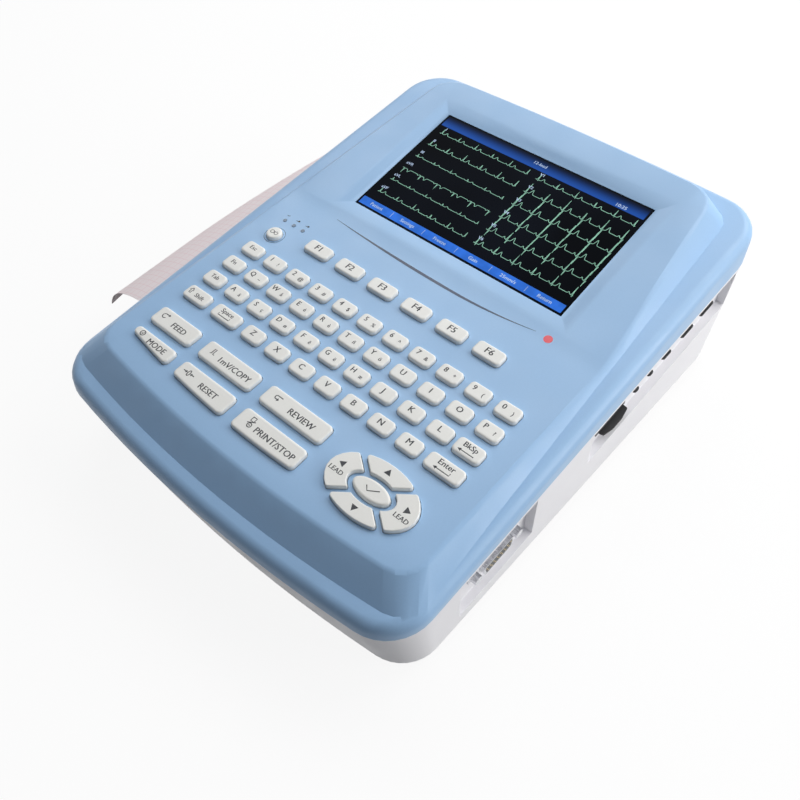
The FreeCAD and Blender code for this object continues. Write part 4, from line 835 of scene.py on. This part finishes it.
@dataclass(frozen=True)
class BankKey:
    """Wide function key. The front ones follow the bow of the case's front edge."""

    left: float
    width: float
    back: float
    depth: float
    word: str
    sign: list[list[Point]]
    bow: float = 600.0
    bow_front: float = -135.0
    samples: int = 9

    def front_at(self, x: float) -> float:
        """Front edge at a place across, straight or on the bow."""
        return max(self.back - self.depth, self.bow_front + self.bow - math.sqrt(self.bow ** 2 - x ** 2))

    def corners(self) -> tuple[list[Point], list[float]]:
        """Outline of the key.

        Returns:
            The sharp outline, and the radius of each corner.
        """
        places = [self.left + self.width * step / (self.samples - 1) for step in range(self.samples)]
        right = self.left + self.width
        corners = [*[(x, self.front_at(x)) for x in places], (right, self.back), (self.left, self.back)]
        return corners, [KEY_CORNER, *[0.0] * (self.samples - 2), KEY_CORNER, KEY_CORNER, KEY_CORNER]

    def middle(self) -> Point:
        """Middle of the key's face."""
        x = self.left + self.width / 2
        return x, (self.back + self.front_at(x)) / 2


FEED_SIGN = [arc_points((-0.1, 0.0), 0.42, 60, 330), [(0.0, 0.42), (0.75, 0.42)],
             [(0.5, 0.6), (0.78, 0.42), (0.5, 0.24)]]
PULSE_SIGN = [[(-0.6, -0.5), (-0.35, -0.5), (-0.35, 0.5), (0.0, 0.5), (0.0, -0.5), (0.35, -0.5)]]
RETURN_SIGN = [[(0.7, 0.4), (-0.3, 0.4), *arc_points((-0.3, 0.1), 0.3, 90, 270), (0.2, -0.2)],
               [(-0.02, 0.02), (0.24, -0.2), (-0.02, -0.42)]]
MODE_SIGN = [arc_points((0.0, 0.0), 0.45, 0, 360, 20), [(-0.2, 0.0), (0.0, -0.2), (0.22, 0.2)]]
ZERO_SIGN = [[(-1.15, 0.0), (-0.45, 0.0)], [(-0.65, 0.18), (-0.42, 0.0), (-0.65, -0.18)],
             [(0.22 * x, 0.5 * y) for x, y in arc_points((0.0, 0.0), 1.0, 0, 360, 18)],
             [(1.15, 0.0), (0.45, 0.0)], [(0.65, 0.18), (0.42, 0.0), (0.65, -0.18)]]
PRINT_SIGN = [[(-0.3, 0.9), (0.35, 0.9), (0.35, 0.2), (-0.3, 0.2), (-0.3, 0.9)], [(-0.5, -0.3), (0.65, 0.35)],
              arc_points((0.15, -0.5), 0.36, 0, 360, 18), [(0.0, -0.5), (0.3, -0.5)]]
BANK_UPPER = (-102.75, 12.5)
BANK_LOWER = (-121.2, 14.6)
BANK_KEYS = {
    "feed_key": BankKey(-100.8, 33.0, *BANK_UPPER, "FEED", FEED_SIGN),
    "calibrate_key": BankKey(-59.7, 41.0, *BANK_UPPER, "1mV/COPY", PULSE_SIGN),
    "review_key": BankKey(-10.6, 44.6, *BANK_UPPER, "REVIEW", RETURN_SIGN),
    "mode_key": BankKey(-100.8, 33.0, *BANK_LOWER, "MODE", MODE_SIGN),
    "reset_key": BankKey(-59.7, 41.0, *BANK_LOWER, "RESET", ZERO_SIGN),
    "print_key": BankKey(-10.6, 44.6, *BANK_LOWER, "PRINT/STOP", PRINT_SIGN),
}


class Side(Enum):
    """Direction keys, in quarter turns from the right."""

    RIGHT = 0
    UP = 1
    LEFT = 2
    DOWN = 3


@dataclass(frozen=True)
class NavPad:
    """Ring of four direction keys round an oval confirm key, with the half axes of its ovals."""

    middle: Point = (72.4, -117.5)
    outer: Point = (27.3, 17.0)
    inner: Point = (14.6, 7.8)
    confirm: Point = (11.4, 5.3)
    gap: float = 2.8
    angle: float = math.radians(37.0)
    samples: int = 9
    outer_round: float = 1.5
    inner_round: float = 0.7

    @staticmethod
    def crossing(axes: Point, angle: float, shift: float) -> float:
        """Where a gap's side leaves an oval.

        Args:
            axes: Half axes of the oval.
            angle: Direction of the side.
            shift: How far it runs beside the middle.

        Returns:
            The oval's parameter there.
        """
        run = Vector((math.cos(angle), math.sin(angle)))
        start = Vector((-run.y, run.x)) * shift
        a = (run.x / axes[0]) ** 2 + (run.y / axes[1]) ** 2
        b = start.x * run.x / axes[0] ** 2 + start.y * run.y / axes[1] ** 2
        c = (start.x / axes[0]) ** 2 + (start.y / axes[1]) ** 2 - 1
        point = start + run * ((-b + math.sqrt(b * b - a * c)) / a)
        return math.atan2(point.y / axes[1], point.x / axes[0])

    def sector(self, side: Side) -> tuple[list[Point], list[float]]:
        """Outline of one direction key.

        Args:
            side: Which key.

        Returns:
            Its sharp outline, and the radius of each corner.
        """
        bars = [-self.angle, self.angle, math.pi - self.angle, math.pi + self.angle]
        first, last = bars[side.value], bars[(side.value + 1) % len(bars)]
        arcs = []
        for axes in (self.outer, self.inner):
            start = self.crossing(axes, first, self.gap / 2)
            end = self.crossing(axes, last, -self.gap / 2)
            end += 2 * math.pi if end < start else 0.0
            turns = [start + (end - start) * step / (self.samples - 1) for step in range(self.samples)]
            (x, y), (across, along) = self.middle, axes
            arcs.append([(x + across * math.cos(turn), y + along * math.sin(turn)) for turn in turns])
        between = [0.0] * (self.samples - 2)
        radii = [self.outer_round, *between, self.outer_round, self.inner_round, *between, self.inner_round]
        return [*arcs[0], *arcs[1][::-1]], radii


@dataclass(kw_only=True)
class Keyboard(Assembly):
    """Every key and its legend, each riding on its own body."""

    bodies: dict[str, str]
    key_width: float = 14.0
    key_depth: float = 9.8
    clear: float = 0.35
    deck_wall: float = 2.5
    crease: float = 50.0
    soft_count: int = 6
    soft_row: float = -15.8
    soft_left: float = -63.3
    soft_pitch: float = 25.5
    soft_width: float = 18.4
    line: float = 0.5
    sign_line: float = 0.55
    power_line: float = 0.4
    pad: NavPad = NavPad()
    seats: Shape = field(init=False)

    def build(self) -> None:
        """Make all keys, and round the openings that they stand in."""
        self.seats = Shape(DECK)
        self.letters()
        self.wide()
        self.soft()
        self.banks()
        self.navigation()
        self.power()
        self.finish(self.seats, "key_seats", self.looks.cover)

    def seat(self, corners: list[Point], radii: list[float]) -> None:
        """Round the corners of one key's opening in the cover."""
        wider = [radius + self.clear if radius else 0.0 for radius in radii]
        self.seats.round_opening(drawn_in(corners, -self.clear), wider, -self.deck_wall, 0.0)

    def add(self, node: str, caps: Shape, legend: Shape) -> None:
        """Finish one key node.

        Args:
            node: The CAD node.
            caps: Caps that stand for it.
            legend: Legend that rides with them.
        """
        body = self.bodies[node]
        cap = self.finish(caps, f"{node}_caps", self.looks.key, body, self.crease)
        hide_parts(node)
        self.finish(legend, f"{node}_legend", self.looks.ink, body)

    def rectangle(self, caps: Shape, legend: Shape, key: Key) -> None:
        """One rectangular cap with its legend.

        Args:
            caps: Shape that takes the cap.
            legend: Shape that takes the legend.
            key: The key.
        """
        corners, radii = box_corners(key.middle, key.width, self.key_depth), [KEY_CORNER] * 4
        caps.rise(rounded(corners, radii), KEY_PROFILE)
        self.seat(corners, radii)
        for mark in key.marks:
            place = (key.middle[0] + mark.x, key.middle[1] + mark.y)
            legend.words(mark.text, place, mark.size, LEGEND_HEIGHT)
        for line in key.lines:
            legend.stroke(set_at(line, key.middle), self.line, LEGEND_HEIGHT)
        if key.arrow:
            legend.flat(set_at(ARROW_HEAD, key.middle), LEGEND_HEIGHT)

    def letters(self) -> None:
        """Four rows of letter keys, one node each."""
        for node, row in LETTER_ROWS.items():
            caps, legend = Shape(DECK), Shape(DECK)
            for index, text in enumerate(row.texts.split()):
                middle = (row.left + index * KEY_PITCH, row.row)
                self.rectangle(caps, legend, Key(middle, self.key_width, lettered(text)))
            self.add(node, caps, legend)

    def wide(self) -> None:
        """Four wide keys beside the letters."""
        for node, key in WIDE_KEYS.items():
            caps, legend = Shape(DECK), Shape(DECK)
            self.rectangle(caps, legend, key)
            self.add(node, caps, legend)

    def soft(self) -> None:
        """Soft keys under the display."""
        for index in range(self.soft_count):
            caps, legend = Shape(DECK), Shape(DECK)
            middle = (self.soft_left + index * self.soft_pitch, self.soft_row)
            self.rectangle(caps, legend, Key(middle, self.soft_width, [Mark(f"F{index + 1}", 0.0, 0.3, 5.8)]))
            self.add(f"soft_key_{index + 1}", caps, legend)

    def banks(self) -> None:
        """Six wide function keys, with a sign on the left and a word on the right."""
        sign_shift, sign_lift, sign_size = -0.6, 0.8, 3.6
        word_shift, word_drop, word_size = 0.24, 1.0, 5.2
        for node, key in BANK_KEYS.items():
            caps, legend = Shape(DECK), Shape(DECK)
            corners, radii = key.corners()
            caps.rise(rounded(corners, radii), KEY_PROFILE)
            self.seat(corners, radii)
            (x, y), half = key.middle(), key.width / 2
            for line in key.sign:
                placed = set_at(line, (x + half * sign_shift, y + sign_lift), sign_size)
                legend.stroke(placed, self.sign_line, LEGEND_HEIGHT)
            legend.words(key.word, (x + half * word_shift, y - word_drop), word_size, LEGEND_HEIGHT)
            self.add(node, caps, legend)

    def navigation(self) -> None:
        """Direction keys with their arrows, and the confirm key."""
        x, y = self.pad.middle
        reach = [(outer + inner) / 2 for outer, inner in zip(self.pad.outer, self.pad.inner)]
        tip, foot, half_foot = 2.0, 1.4, 2.0
        lift, word_drop, word_size = 2.2, 2.6, 3.7
        for side in Side:
            caps, legend = Shape(DECK), Shape(DECK)
            corners, radii = self.pad.sector(side)
            caps.rise(rounded(corners, radii), NAV_PROFILE)
            self.seat(corners, radii)
            out = Vector((math.cos(side.value * math.pi / 2), math.sin(side.value * math.pi / 2)))
            across = Vector((-out.y, out.x))
            with_word = side in (Side.RIGHT, Side.LEFT)
            place = Vector((x + out.x * reach[0], y + out.y * reach[1] + (lift if with_word else 0.0)))
            ends = [place - out * foot + across * half_foot, place - out * foot - across * half_foot]
            legend.flat([(point.x, point.y) for point in (place + out * tip, *ends)], LEGEND_HEIGHT)
            if with_word:
                legend.words("LEAD", (place.x, y - word_drop), word_size, LEGEND_HEIGHT)
            self.add(f"nav_{side.name.lower()}_key", caps, legend)
        caps, legend = Shape(DECK), Shape(DECK)
        caps.rise(ellipse_outline(self.pad.middle, *self.pad.confirm), KEY_PROFILE)
        tick = [(-3.6, 0.8), (-1.4, -1.6), (4.0, 1.8)]
        legend.stroke(set_at(tick, self.pad.middle), self.sign_line, LEGEND_HEIGHT)
        self.add("confirm_key", caps, legend)

    def power(self) -> None:
        """Round power key with its two-ring sign."""
        caps, legend = Shape(DECK), Shape(DECK)
        caps.rise(ellipse_outline(POWER_PLACE, POWER_RADIUS, POWER_RADIUS), KEY_PROFILE)
        ring = 1.2
        sign = [arc_points((-1.3, 0.0), ring, 0, 340, 18), [(-0.1, -0.9), (0.5, 0.9)],
                arc_points((1.8, 0.0), ring, 120, 420, 18), [(1.8, 0.3), (1.8, 1.5)]]
        for line in sign:
            legend.stroke(set_at(line, POWER_PLACE), self.power_line, LEGEND_HEIGHT)
        self.add("power_key", caps, legend)


# Display

@dataclass(frozen=True)
class Wave:
    """One wave of a heart trace: its place in the beat, its width, and its height as a share of the peak."""

    place: float
    width: float
    height: float

    def at(self, share: float) -> float:
        """Height at a share of the beat."""
        return self.height * math.exp(-((share - self.place) / self.width) ** 2)


@dataclass(frozen=True)
class Lead:
    """One trace: its name, the height of its peak, and the depth of the dip after it."""

    name: str
    peak: float
    dip: float

    def height_at(self, share: float) -> float:
        """Height of the trace at a share of its beat."""
        return sum(self.peak * wave.at(share) for wave in WAVES) + self.dip * DIP.at(share)


WAVES = (Wave(0.16, 0.035, 0.16), Wave(0.30, 0.010, -0.08), Wave(0.335, 0.012, 1.0), Wave(0.60, 0.06, 0.42))
DIP = Wave(0.37, 0.012, 1.0)
LIMB_LEADS = (Lead("I", 5.0, 0.0), Lead("II", 6.0, 0.0), Lead("III", 2.5, -0.6), Lead("aVR", -5.0, 0.0),
              Lead("aVL", 2.5, 0.0), Lead("aVF", 4.5, 0.2))
CHEST_LEADS = (Lead("V1", 5.5, -1.0), Lead("V2", 9.0, -12.0), Lead("V3", 10.0, -10.0), Lead("V4", 10.0, -8.0),
               Lead("V5", 9.0, -5.0), Lead("V6", 7.5, -1.5))
BAR_WORDS = ("Patient", "Settings", "Freeze", "Gain", "25mm/s", "Return")


@dataclass(kw_only=True)
class Display(Assembly):
    """Window with a lit picture of twelve traces, a title band and a row of soft-key words."""

    left: float = -76.2
    right: float = 76.2
    front: float = 20.3
    back: float = 111.7
    surface: float = -3.0
    picture: float = -2.96
    print_level: float = -2.93
    border: float = 1.6
    fit: float = 0.1
    thick: float = 2.0
    bevel: float = 0.2
    window_corner: float = 1.2
    strip_corner: float = 0.4
    bar_high: float = 6.2
    band_low: float = 82.5
    band_high: float = 91.4
    first_trace: float = 76.0
    trace_pitch: float = 12.4
    trace_width: float = 0.36
    trace_step: float = 0.25
    left_margin: float = 4.0
    left_end: float = -2.0
    right_start: float = 4.5
    right_margin: float = 1.0
    beat: float = 13.6
    beat_start: float = 3.0
    name_shift: float = 2.0
    name_lift: float = 4.6
    name_size: float = 3.2
    title: Mark = Mark("12-lead", 0.0, 87.2, 3.4)
    clock: Mark = Mark("10:25", 60.0, 84.6, 3.6)
    bar_size: float = 3.5
    divider: float = 0.25
    divider_inset: float = 1.0

    def build(self) -> None:
        """Window with the picture on it."""
        window = Shape(WEDGE)
        extra = 2 * self.border - self.fit
        width, depth = self.right - self.left + extra, self.back - self.front + extra
        middle = ((self.left + self.right) / 2, (self.front + self.back) / 2)
        bevel_foot = self.surface - self.bevel
        edge = [(0.0, self.surface - self.thick), (0.0, bevel_foot), (self.bevel, self.surface)]
        window.rise(box_outline(middle, width, depth, self.window_corner), edge)
        pane = self.finish(window, "display_pane", self.looks.screen)
        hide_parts("display_window")
        self.strip("display_bar", 0.0, self.bar_high, self.looks.bar)
        glow = TitleGlow(self.along_table(self.band_low), self.along_table(self.band_high))
        self.strip("display_band", self.band_low, self.band_high, glow.look())
        self.traces()
        self.words()

    def along_table(self, height: float) -> float:
        """The table's Y of a height on the picture."""
        return (WEDGE @ Vector((0.0, self.front + height, self.surface))).y / MM

    def strip(self, name: str, low: float, high: float, look: Look) -> None:
        """Lit band right across the picture.

        Args:
            name: The piece's name.
            low: Height of its lower edge on the picture.
            high: Height of its upper edge.
            look: Its material.
        """
        band = Shape(WEDGE)
        middle = ((self.left + self.right) / 2, self.front + (low + high) / 2)
        band.flat(box_outline(middle, self.right - self.left, high - low, self.strip_corner), self.picture)
        self.finish(band, name, look)

    def halves(self) -> list[tuple[tuple[Lead, ...], float, float]]:
        """Leads of the left and right half, with the start and end of their traces."""
        return [(LIMB_LEADS, self.left + self.left_margin, self.left_end),
                (CHEST_LEADS, self.right_start, self.right - self.right_margin)]

    def base(self, row: int) -> float:
        """Level of the resting line of a row's trace."""
        return self.front + self.first_trace - row * self.trace_pitch

    def traces(self) -> None:
        """Limb leads on the left half and chest leads on the right half."""
        lines = Shape(WEDGE)
        for leads, start, end in self.halves():
            count = int((end - start) / self.trace_step) + 1
            places = [start + step * self.trace_step for step in range(count)]
            shares = [((x - start + self.beat_start) / self.beat) % 1.0 for x in places]
            for row, lead in enumerate(leads):
                heights = [self.base(row) + lead.height_at(share) for share in shares]
                lines.stroke(list(zip(places, heights)), self.trace_width, self.picture)
        self.finish(lines, "display_traces", self.looks.trace)

    def words(self) -> None:
        """Lead names, and the words of the title band and the soft-key bar."""
        names = Shape(WEDGE)
        for leads, start, _ in self.halves():
            for row, lead in enumerate(leads):
                place = (start + self.name_shift, self.base(row) + self.name_lift)
                names.words(lead.name, place, self.name_size, self.print_level)
        for mark in (self.title, self.clock):
            names.words(mark.text, (mark.x, self.front + mark.y), mark.size, self.print_level)
        cell = (self.right - self.left) / len(BAR_WORDS)
        low, high = self.front + self.divider_inset, self.front + self.bar_high - self.divider_inset
        for index, word in enumerate(BAR_WORDS):
            x = self.left + cell * index
            names.words(word, (x + cell / 2, (low + high) / 2), self.bar_size, self.print_level)
            if index:
                names.stroke([(x, low), (x, high)], self.divider, self.print_level)
        self.finish(names, "display_words", self.looks.caption)


# Trim and sockets

def deck_rise(y: float) -> float:
    """Height of the cover's surface along its middle, over the eased bend to the wedge.

    Args:
        y: Place along the deck.

    Returns:
        Height over the plane of the deck.
    """
    slope = math.tan(WEDGE_TILT)
    start, end = WEDGE_START - WEDGE_EASE, WEDGE_START + WEDGE_EASE
    if y <= start:
        return 0.0
    if y >= end:
        return slope * (y - WEDGE_START)
    return slope * (y - start) ** 2 / (4 * WEDGE_EASE)


@dataclass(kw_only=True)
class DeckTrim(Assembly):
    """Tapered line and plain dot under the display, signs by the lamps, and a ring round the power key."""

    line_left: Point = (-74.6, 11.5)
    line_right: Point = (74.0, 13.0)
    line_apex: Point = (18.0, 7.9)
    line_thin: float = 0.2
    line_swell: float = 1.7
    line_taper: float = 1.1
    line_steps: int = 40
    dot: Point = (82.3, 12.4)
    dot_radius: float = 2.6
    lift: float = 0.05
    lamps: tuple[float, ...] = (-101.0, -93.0, -85.0)
    sign_row: float = -4.6
    sign_line: float = 0.45
    sign_lift: float = 0.04
    sign_dot: float = 0.75
    sign_dot_shift: Point = (0.9, 0.4)
    sign_dot_lift: float = 0.05
    ring_gap: float = 1.6
    ring_line: float = 0.3

    def build(self) -> None:
        """Make the trim."""
        self.tapered_line()
        self.red_dot()
        self.lamp_signs()
        ring = Shape(DECK)
        radius = POWER_RADIUS + self.ring_gap
        ring.stroke(ellipse_outline(POWER_PLACE, radius, radius), self.ring_line, self.sign_lift, True)
        self.finish(ring, "power_ring", self.looks.trim)

    def tapered_line(self) -> None:
        """Line that sags to its apex on two parabolas and thins out to both ends."""
        points, widths = [], []
        for step in range(self.line_steps + 1):
            share = step / self.line_steps
            x = self.line_left[0] + (self.line_right[0] - self.line_left[0]) * share
            end = self.line_left if x < self.line_apex[0] else self.line_right
            pull = 1 - ((x - self.line_apex[0]) / (end[0] - self.line_apex[0])) ** 2
            y = end[1] + (self.line_apex[1] - end[1]) * pull
            points.append(Vector((x, y, deck_rise(y) + self.lift)))
            widths.append(self.line_thin + self.line_swell * math.sin(math.pi * share) ** self.line_taper)
        line = Shape(DECK)
        line.ribbon(points, widths)
        self.finish(line, "trim_line", self.looks.trim)

    def red_dot(self) -> None:
        """Dot that lies on the bend of the cover."""
        dot = Shape(DECK)
        dot.flat(ellipse_outline(self.dot, self.dot_radius, self.dot_radius), 0.0)
        for vertex in dot.mesh.verts:
            vertex.co.z = deck_rise(vertex.co.y) + self.lift
        self.finish(dot, "trim_dot", self.looks.red)

    def lamp_signs(self) -> None:
        """A small hook at each lamp, two of them with a dot."""
        signs = Shape(DECK)
        hook = [(-1.1, 0.0), (0.2, 0.0), (0.8, 0.8)]
        for x in self.lamps:
            signs.stroke(set_at(hook, (x, self.sign_row)), self.sign_line, self.sign_lift)
        for x in self.lamps[1:]:
            place = (x + self.sign_dot_shift[0], self.sign_row + self.sign_dot_shift[1])
            signs.flat(ellipse_outline(place, self.sign_dot, self.sign_dot, 16), self.sign_dot_lift)
        self.finish(signs, "lamp_signs", self.looks.ink)


@dataclass(kw_only=True)
class LeadFace(Assembly):
    """Insulator and contacts in the mouth of the lead socket."""

    row: float = -89.8
    drop: float = -38.2
    mouth: float = 129.0
    half_top: float = 11.2
    half_bottom: float = 9.8
    half_height: float = 3.1
    corner: float = 1.2
    pitch: float = 2.77
    half_rows: float = 1.42
    upper_count: int = 8
    lower_count: int = 7
    contact: float = 0.55
    insulator_lift: float = 0.03
    contact_lift: float = 0.06

    def build(self) -> None:
        """Make the two flat pieces, which face right."""
        face = DECK @ Matrix.Translation((self.mouth, self.row, self.drop)) \
            @ Matrix.Rotation(math.pi / 2, 4, "Z") @ Matrix.Rotation(math.pi / 2, 4, "X")
        insulator, contacts = Shape(face), Shape(face)
        corners = [(-self.half_bottom, -self.half_height), (self.half_bottom, -self.half_height),
                   (self.half_top, self.half_height), (-self.half_top, self.half_height)]
        insulator.flat(rounded(corners, [self.corner] * 4), self.insulator_lift)
        for level, count in ((self.half_rows, self.upper_count), (-self.half_rows, self.lower_count)):
            for index in range(count):
                place = ((index - (count - 1) / 2) * self.pitch, level)
                contacts.flat(ellipse_outline(place, self.contact, self.contact, 12), self.contact_lift)
        self.finish(insulator, "lead_insulator", self.looks.black)
        self.finish(contacts, "lead_contacts", self.looks.brass)


@dataclass(kw_only=True)
class SocketShade(Assembly):
    """Black plates under the mouths of the sockets in the right side: painted shade of their dark openings.
    """

    face: float = 124.0
    thick: float = 0.9
    level: float = -36.0
    reach: float = 3.6
    corner: float = 1.6
    # Place along the side and width of each small plate of painted shade
    small: tuple[Point, ...] = ((40.0, 5.0), (55.0, 5.0), (72.5, 9.0), (95.5, 13.0), (118.3, 15.0))
    # The card slot's plate of painted shade, lower and bowed
    card_level: float = -44.6
    card: tuple[Point, ...] = ((124.0, 7.6), (127.4, 8.0), (129.0, 15.0), (129.0, 24.0), (127.6, 32.0),
                               (124.0, 32.6))
    card_rounds: tuple[float, ...] = (0.0, 1.0, 4.0, 4.0, 1.0, 0.0)

    def build(self) -> None:
        """Make the plates of painted shade."""
        shade_plates = Shape(DECK)
        for row, width in self.small:
            corners = box_corners((self.face + self.reach / 2, row), self.reach, width)
            outline = rounded(corners, [0.0, self.corner, self.corner, 0.0])
            shade_plates.slab(outline, self.level - self.thick, self.level)
        outline = rounded(list(self.card), list(self.card_rounds))
        shade_plates.slab(outline, self.card_level - self.thick, self.card_level)
        # The plates are painted shade, worn in the black of the sockets
        self.finish(shade_plates, "socket_lips", self.looks.black)


# Dressing of the CAD nodes

@dataclass(kw_only=True)
class Dressing(Assembly):
    """Smooth copies for rounded CAD nodes, and better materials for the others."""

    frame: dict[str, Any]
    bodies: dict[str, str]
    cover_crease: float = 26.0

    def smooth_nodes(self) -> dict[str, Look]:
        """Choose the nodes that a smooth copy stands for.

        Returns:
            The copy's look for each node.
        """
        looks = self.looks
        return {
            "top_cover": looks.cover, "base_tray": looks.case, "recorder_drawer": looks.case,
            "paper_strip": looks.paper, "rubber_feet": looks.rubber, "platen_roller": looks.rubber,
            "ground_stud": looks.brass, "indicator_lenses": looks.lens, "stepper_motor": looks.sheet,
            "speaker": looks.black, "signal_jacks": looks.black, "jack_screws": looks.shell,
            "lead_socket": looks.shell,
        }

    def plain_nodes(self) -> dict[str, Look]:
        """Choose the nodes that keep their own faces.

        Returns:
            The look for each node.
        """
        looks = self.looks
        return {
            "battery_door": looks.case, "lcd_module": looks.sheet, "keypad_mat": looks.rubber,
            "key_board": looks.board, "main_board": looks.board, "power_board": looks.board,
            "battery_pack": looks.wrap, "print_head": looks.alloy, "recorder_frame": looks.sheet,
            "head_spring": looks.sheet, "usb_ports": looks.shell, "network_port": looks.shell,
            "card_slot": looks.black, "ac_inlet": looks.black, "case_screws": looks.sheet,
            "paper_pack": looks.paper, "platen_gear": looks.nylon, "idler_gear": looks.nylon,
            "motor_pinion": looks.nylon,
        }

    def build(self) -> None:
        """Dress every node that no other piece stands for."""
        nodes = self.frame["nodes"]
        for node, look in self.smooth_nodes().items():
            skin = Shape(TABLE)
            skin.copy(nodes[node])
            crease = self.cover_crease if node == "top_cover" else USUAL_CREASE
            made = self.finish(skin, f"{node}_skin", look, self.bodies[node], crease)
            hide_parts(node)
        for node, look in self.plain_nodes().items():
            nodes[node].data.materials.clear()
            nodes[node].data.materials.append(look.material)
            self.made.append(nodes[node])


# Light and camera, in metres

@dataclass(frozen=True)
class Lamp:
    """Square soft light: its name, place, side, power in watts and colour."""

    name: str
    place: Place
    side: float
    watts: float
    colour: Colour

    def build(self, target: Vector) -> None:
        """Hang the lamp.

        Args:
            target: Where it faces.
        """
        lamp = bpy.data.lights.new(self.name, "AREA")
        lamp.shape = "SQUARE"
        lamp.size = self.side
        lamp.energy = self.watts
        lamp.color = self.colour
        holder = bpy.data.objects.new(self.name, lamp)
        holder.location = self.place
        holder.rotation_euler = (target - Vector(self.place)).to_track_quat("-Z", "Y").to_euler()
        bpy.context.scene.collection.objects.link(holder)


@dataclass
class Studio:
    """White surroundings and floor, with soft lamps mostly from behind."""

    middle: Place = (0.02, 0.0, 0.07)
    fill: Colour = (0.86, 0.92, 1.0)
    fill_strength: float = 0.17
    floor_half: float = 6.0
    floor_glow: float = 0.9
    floor_felt: Colour = (0.3, 0.3, 0.3)
    floor_seen: Colour = (0.95, 0.95, 0.95)
    floor_roughness: float = 0.8
    lamps: tuple[Lamp, ...] = (
        Lamp("back_light", (0.45, 0.95, 1.05), 0.9, 10.0, (1.0, 0.99, 0.97)),
        Lamp("top_light", (-0.5, 0.6, 1.1), 1.0, 8.0, (1.0, 1.0, 1.0)),
        Lamp("side_light", (1.1, 0.5, 0.4), 0.7, 8.0, (1.0, 0.99, 0.98)),
    )

    def build(self) -> None:
        """Set up the world, the lamps and the floor."""
        bpy.context.scene.view_settings.view_transform = "Standard"
        self.world()
        for lamp in self.lamps:
            lamp.build(Vector(self.middle))
        self.floor()

    def world(self) -> None:
        """White where it is seen, and a weak cool fill where it lights the pieces."""
        world = bpy.data.worlds.new("studio")
        bpy.context.scene.world = world
        world.use_nodes = True
        world.node_tree.nodes.clear()
        graph = Graph(world.node_tree)
        seen = graph.node("ShaderNodeBackground", sockets={"Color": (1.0, 1.0, 1.0, 1.0)})
        felt = graph.node("ShaderNodeBackground",
                          sockets={"Color": (*self.fill, 1.0), "Strength": self.fill_strength})
        choice = graph.node("ShaderNodeMixShader",
                            sockets={0: graph.seen_rays(), 1: felt.outputs[0], 2: seen.outputs[0]})
        graph.node("ShaderNodeOutputWorld", sockets={"Surface": choice.outputs[0]})

    def floor(self) -> None:
        """Wide floor, seen nearly at the background's level, that keeps a soft shadow."""
        mesh = bmesh.new()
        bmesh.ops.create_grid(mesh, x_segments=1, y_segments=1, size=self.floor_half)
        data = bpy.data.meshes.new("floor")
        mesh.to_mesh(data)
        mesh.free()
        look = Look("floor_white", self.floor_seen, self.floor_roughness)
        seen = look.seen_rays()
        look.set("Base Color", look.blend(self.floor_felt, self.floor_seen, seen))
        white = look.node("ShaderNodeEmission")
        mix = look.node("ShaderNodeMixShader",
                        sockets={0: seen * self.floor_glow, 1: look.surface.outputs[0], 2: white.outputs[0]})
        look.feed(look.tree.nodes["Material Output"].inputs["Surface"], mix.outputs[0])
        data.materials.append(look.material)
        floor = bpy.data.objects.new("floor", data)
        bpy.context.scene.collection.objects.link(floor)


@dataclass
class PhotoCamera:
    """Camera at the photograph's viewing angle. Its place and direction are on the deck's axes."""

    place: Place = (228.4, -244.4, 343.2)
    forward: Place = (-0.42570, 0.41387, -0.80467)
    roll: float = math.radians(-5.6)
    lens: float = 37.27
    sensor: float = 36.0
    near: float = 0.01
    far: float = 10.0

    def build(self) -> None:
        """Set the camera up."""
        lens = bpy.data.cameras.new("camera")
        lens.lens = self.lens
        lens.sensor_width = self.sensor
        lens.clip_start, lens.clip_end = self.near, self.far
        holder = bpy.data.objects.new("camera", lens)
        aim = Vector(self.forward).to_track_quat("-Z", "Y").to_matrix() @ Matrix.Rotation(self.roll, 3, "Z")
        turn = Matrix.Rotation(DECK_TILT, 3, "X") @ aim
        holder.matrix_world = Matrix.Translation(DECK @ Vector(self.place)) @ turn.to_4x4()
        bpy.context.scene.collection.objects.link(holder)
        bpy.context.scene.camera = holder


def main() -> None:
    """Build the looks round the frame, and report each piece."""
    LOG.addHandler(logging.StreamHandler())
    LOG.setLevel(logging.INFO)
    for item in list(bpy.data.objects):
        bpy.data.objects.remove(item)
    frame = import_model()
    bodies = {node: body for body, nodes in frame["record"]["behaviour"]["bodies"].items() for node in nodes}
    looks = Looks()
    assemblies = [Dressing(looks=looks, frame=frame, bodies=bodies), Keyboard(looks=looks, bodies=bodies),
                  Display(looks=looks), DeckTrim(looks=looks), LeadFace(looks=looks), SocketShade(looks=looks)]
    for assembly in assemblies:
        assembly.build()
        for piece in assembly.made:
            LOG.info("%s: %s", type(assembly).__name__, piece.name)
    Studio().build()
    PhotoCamera().build()


if __name__ == "__main__":
    main()
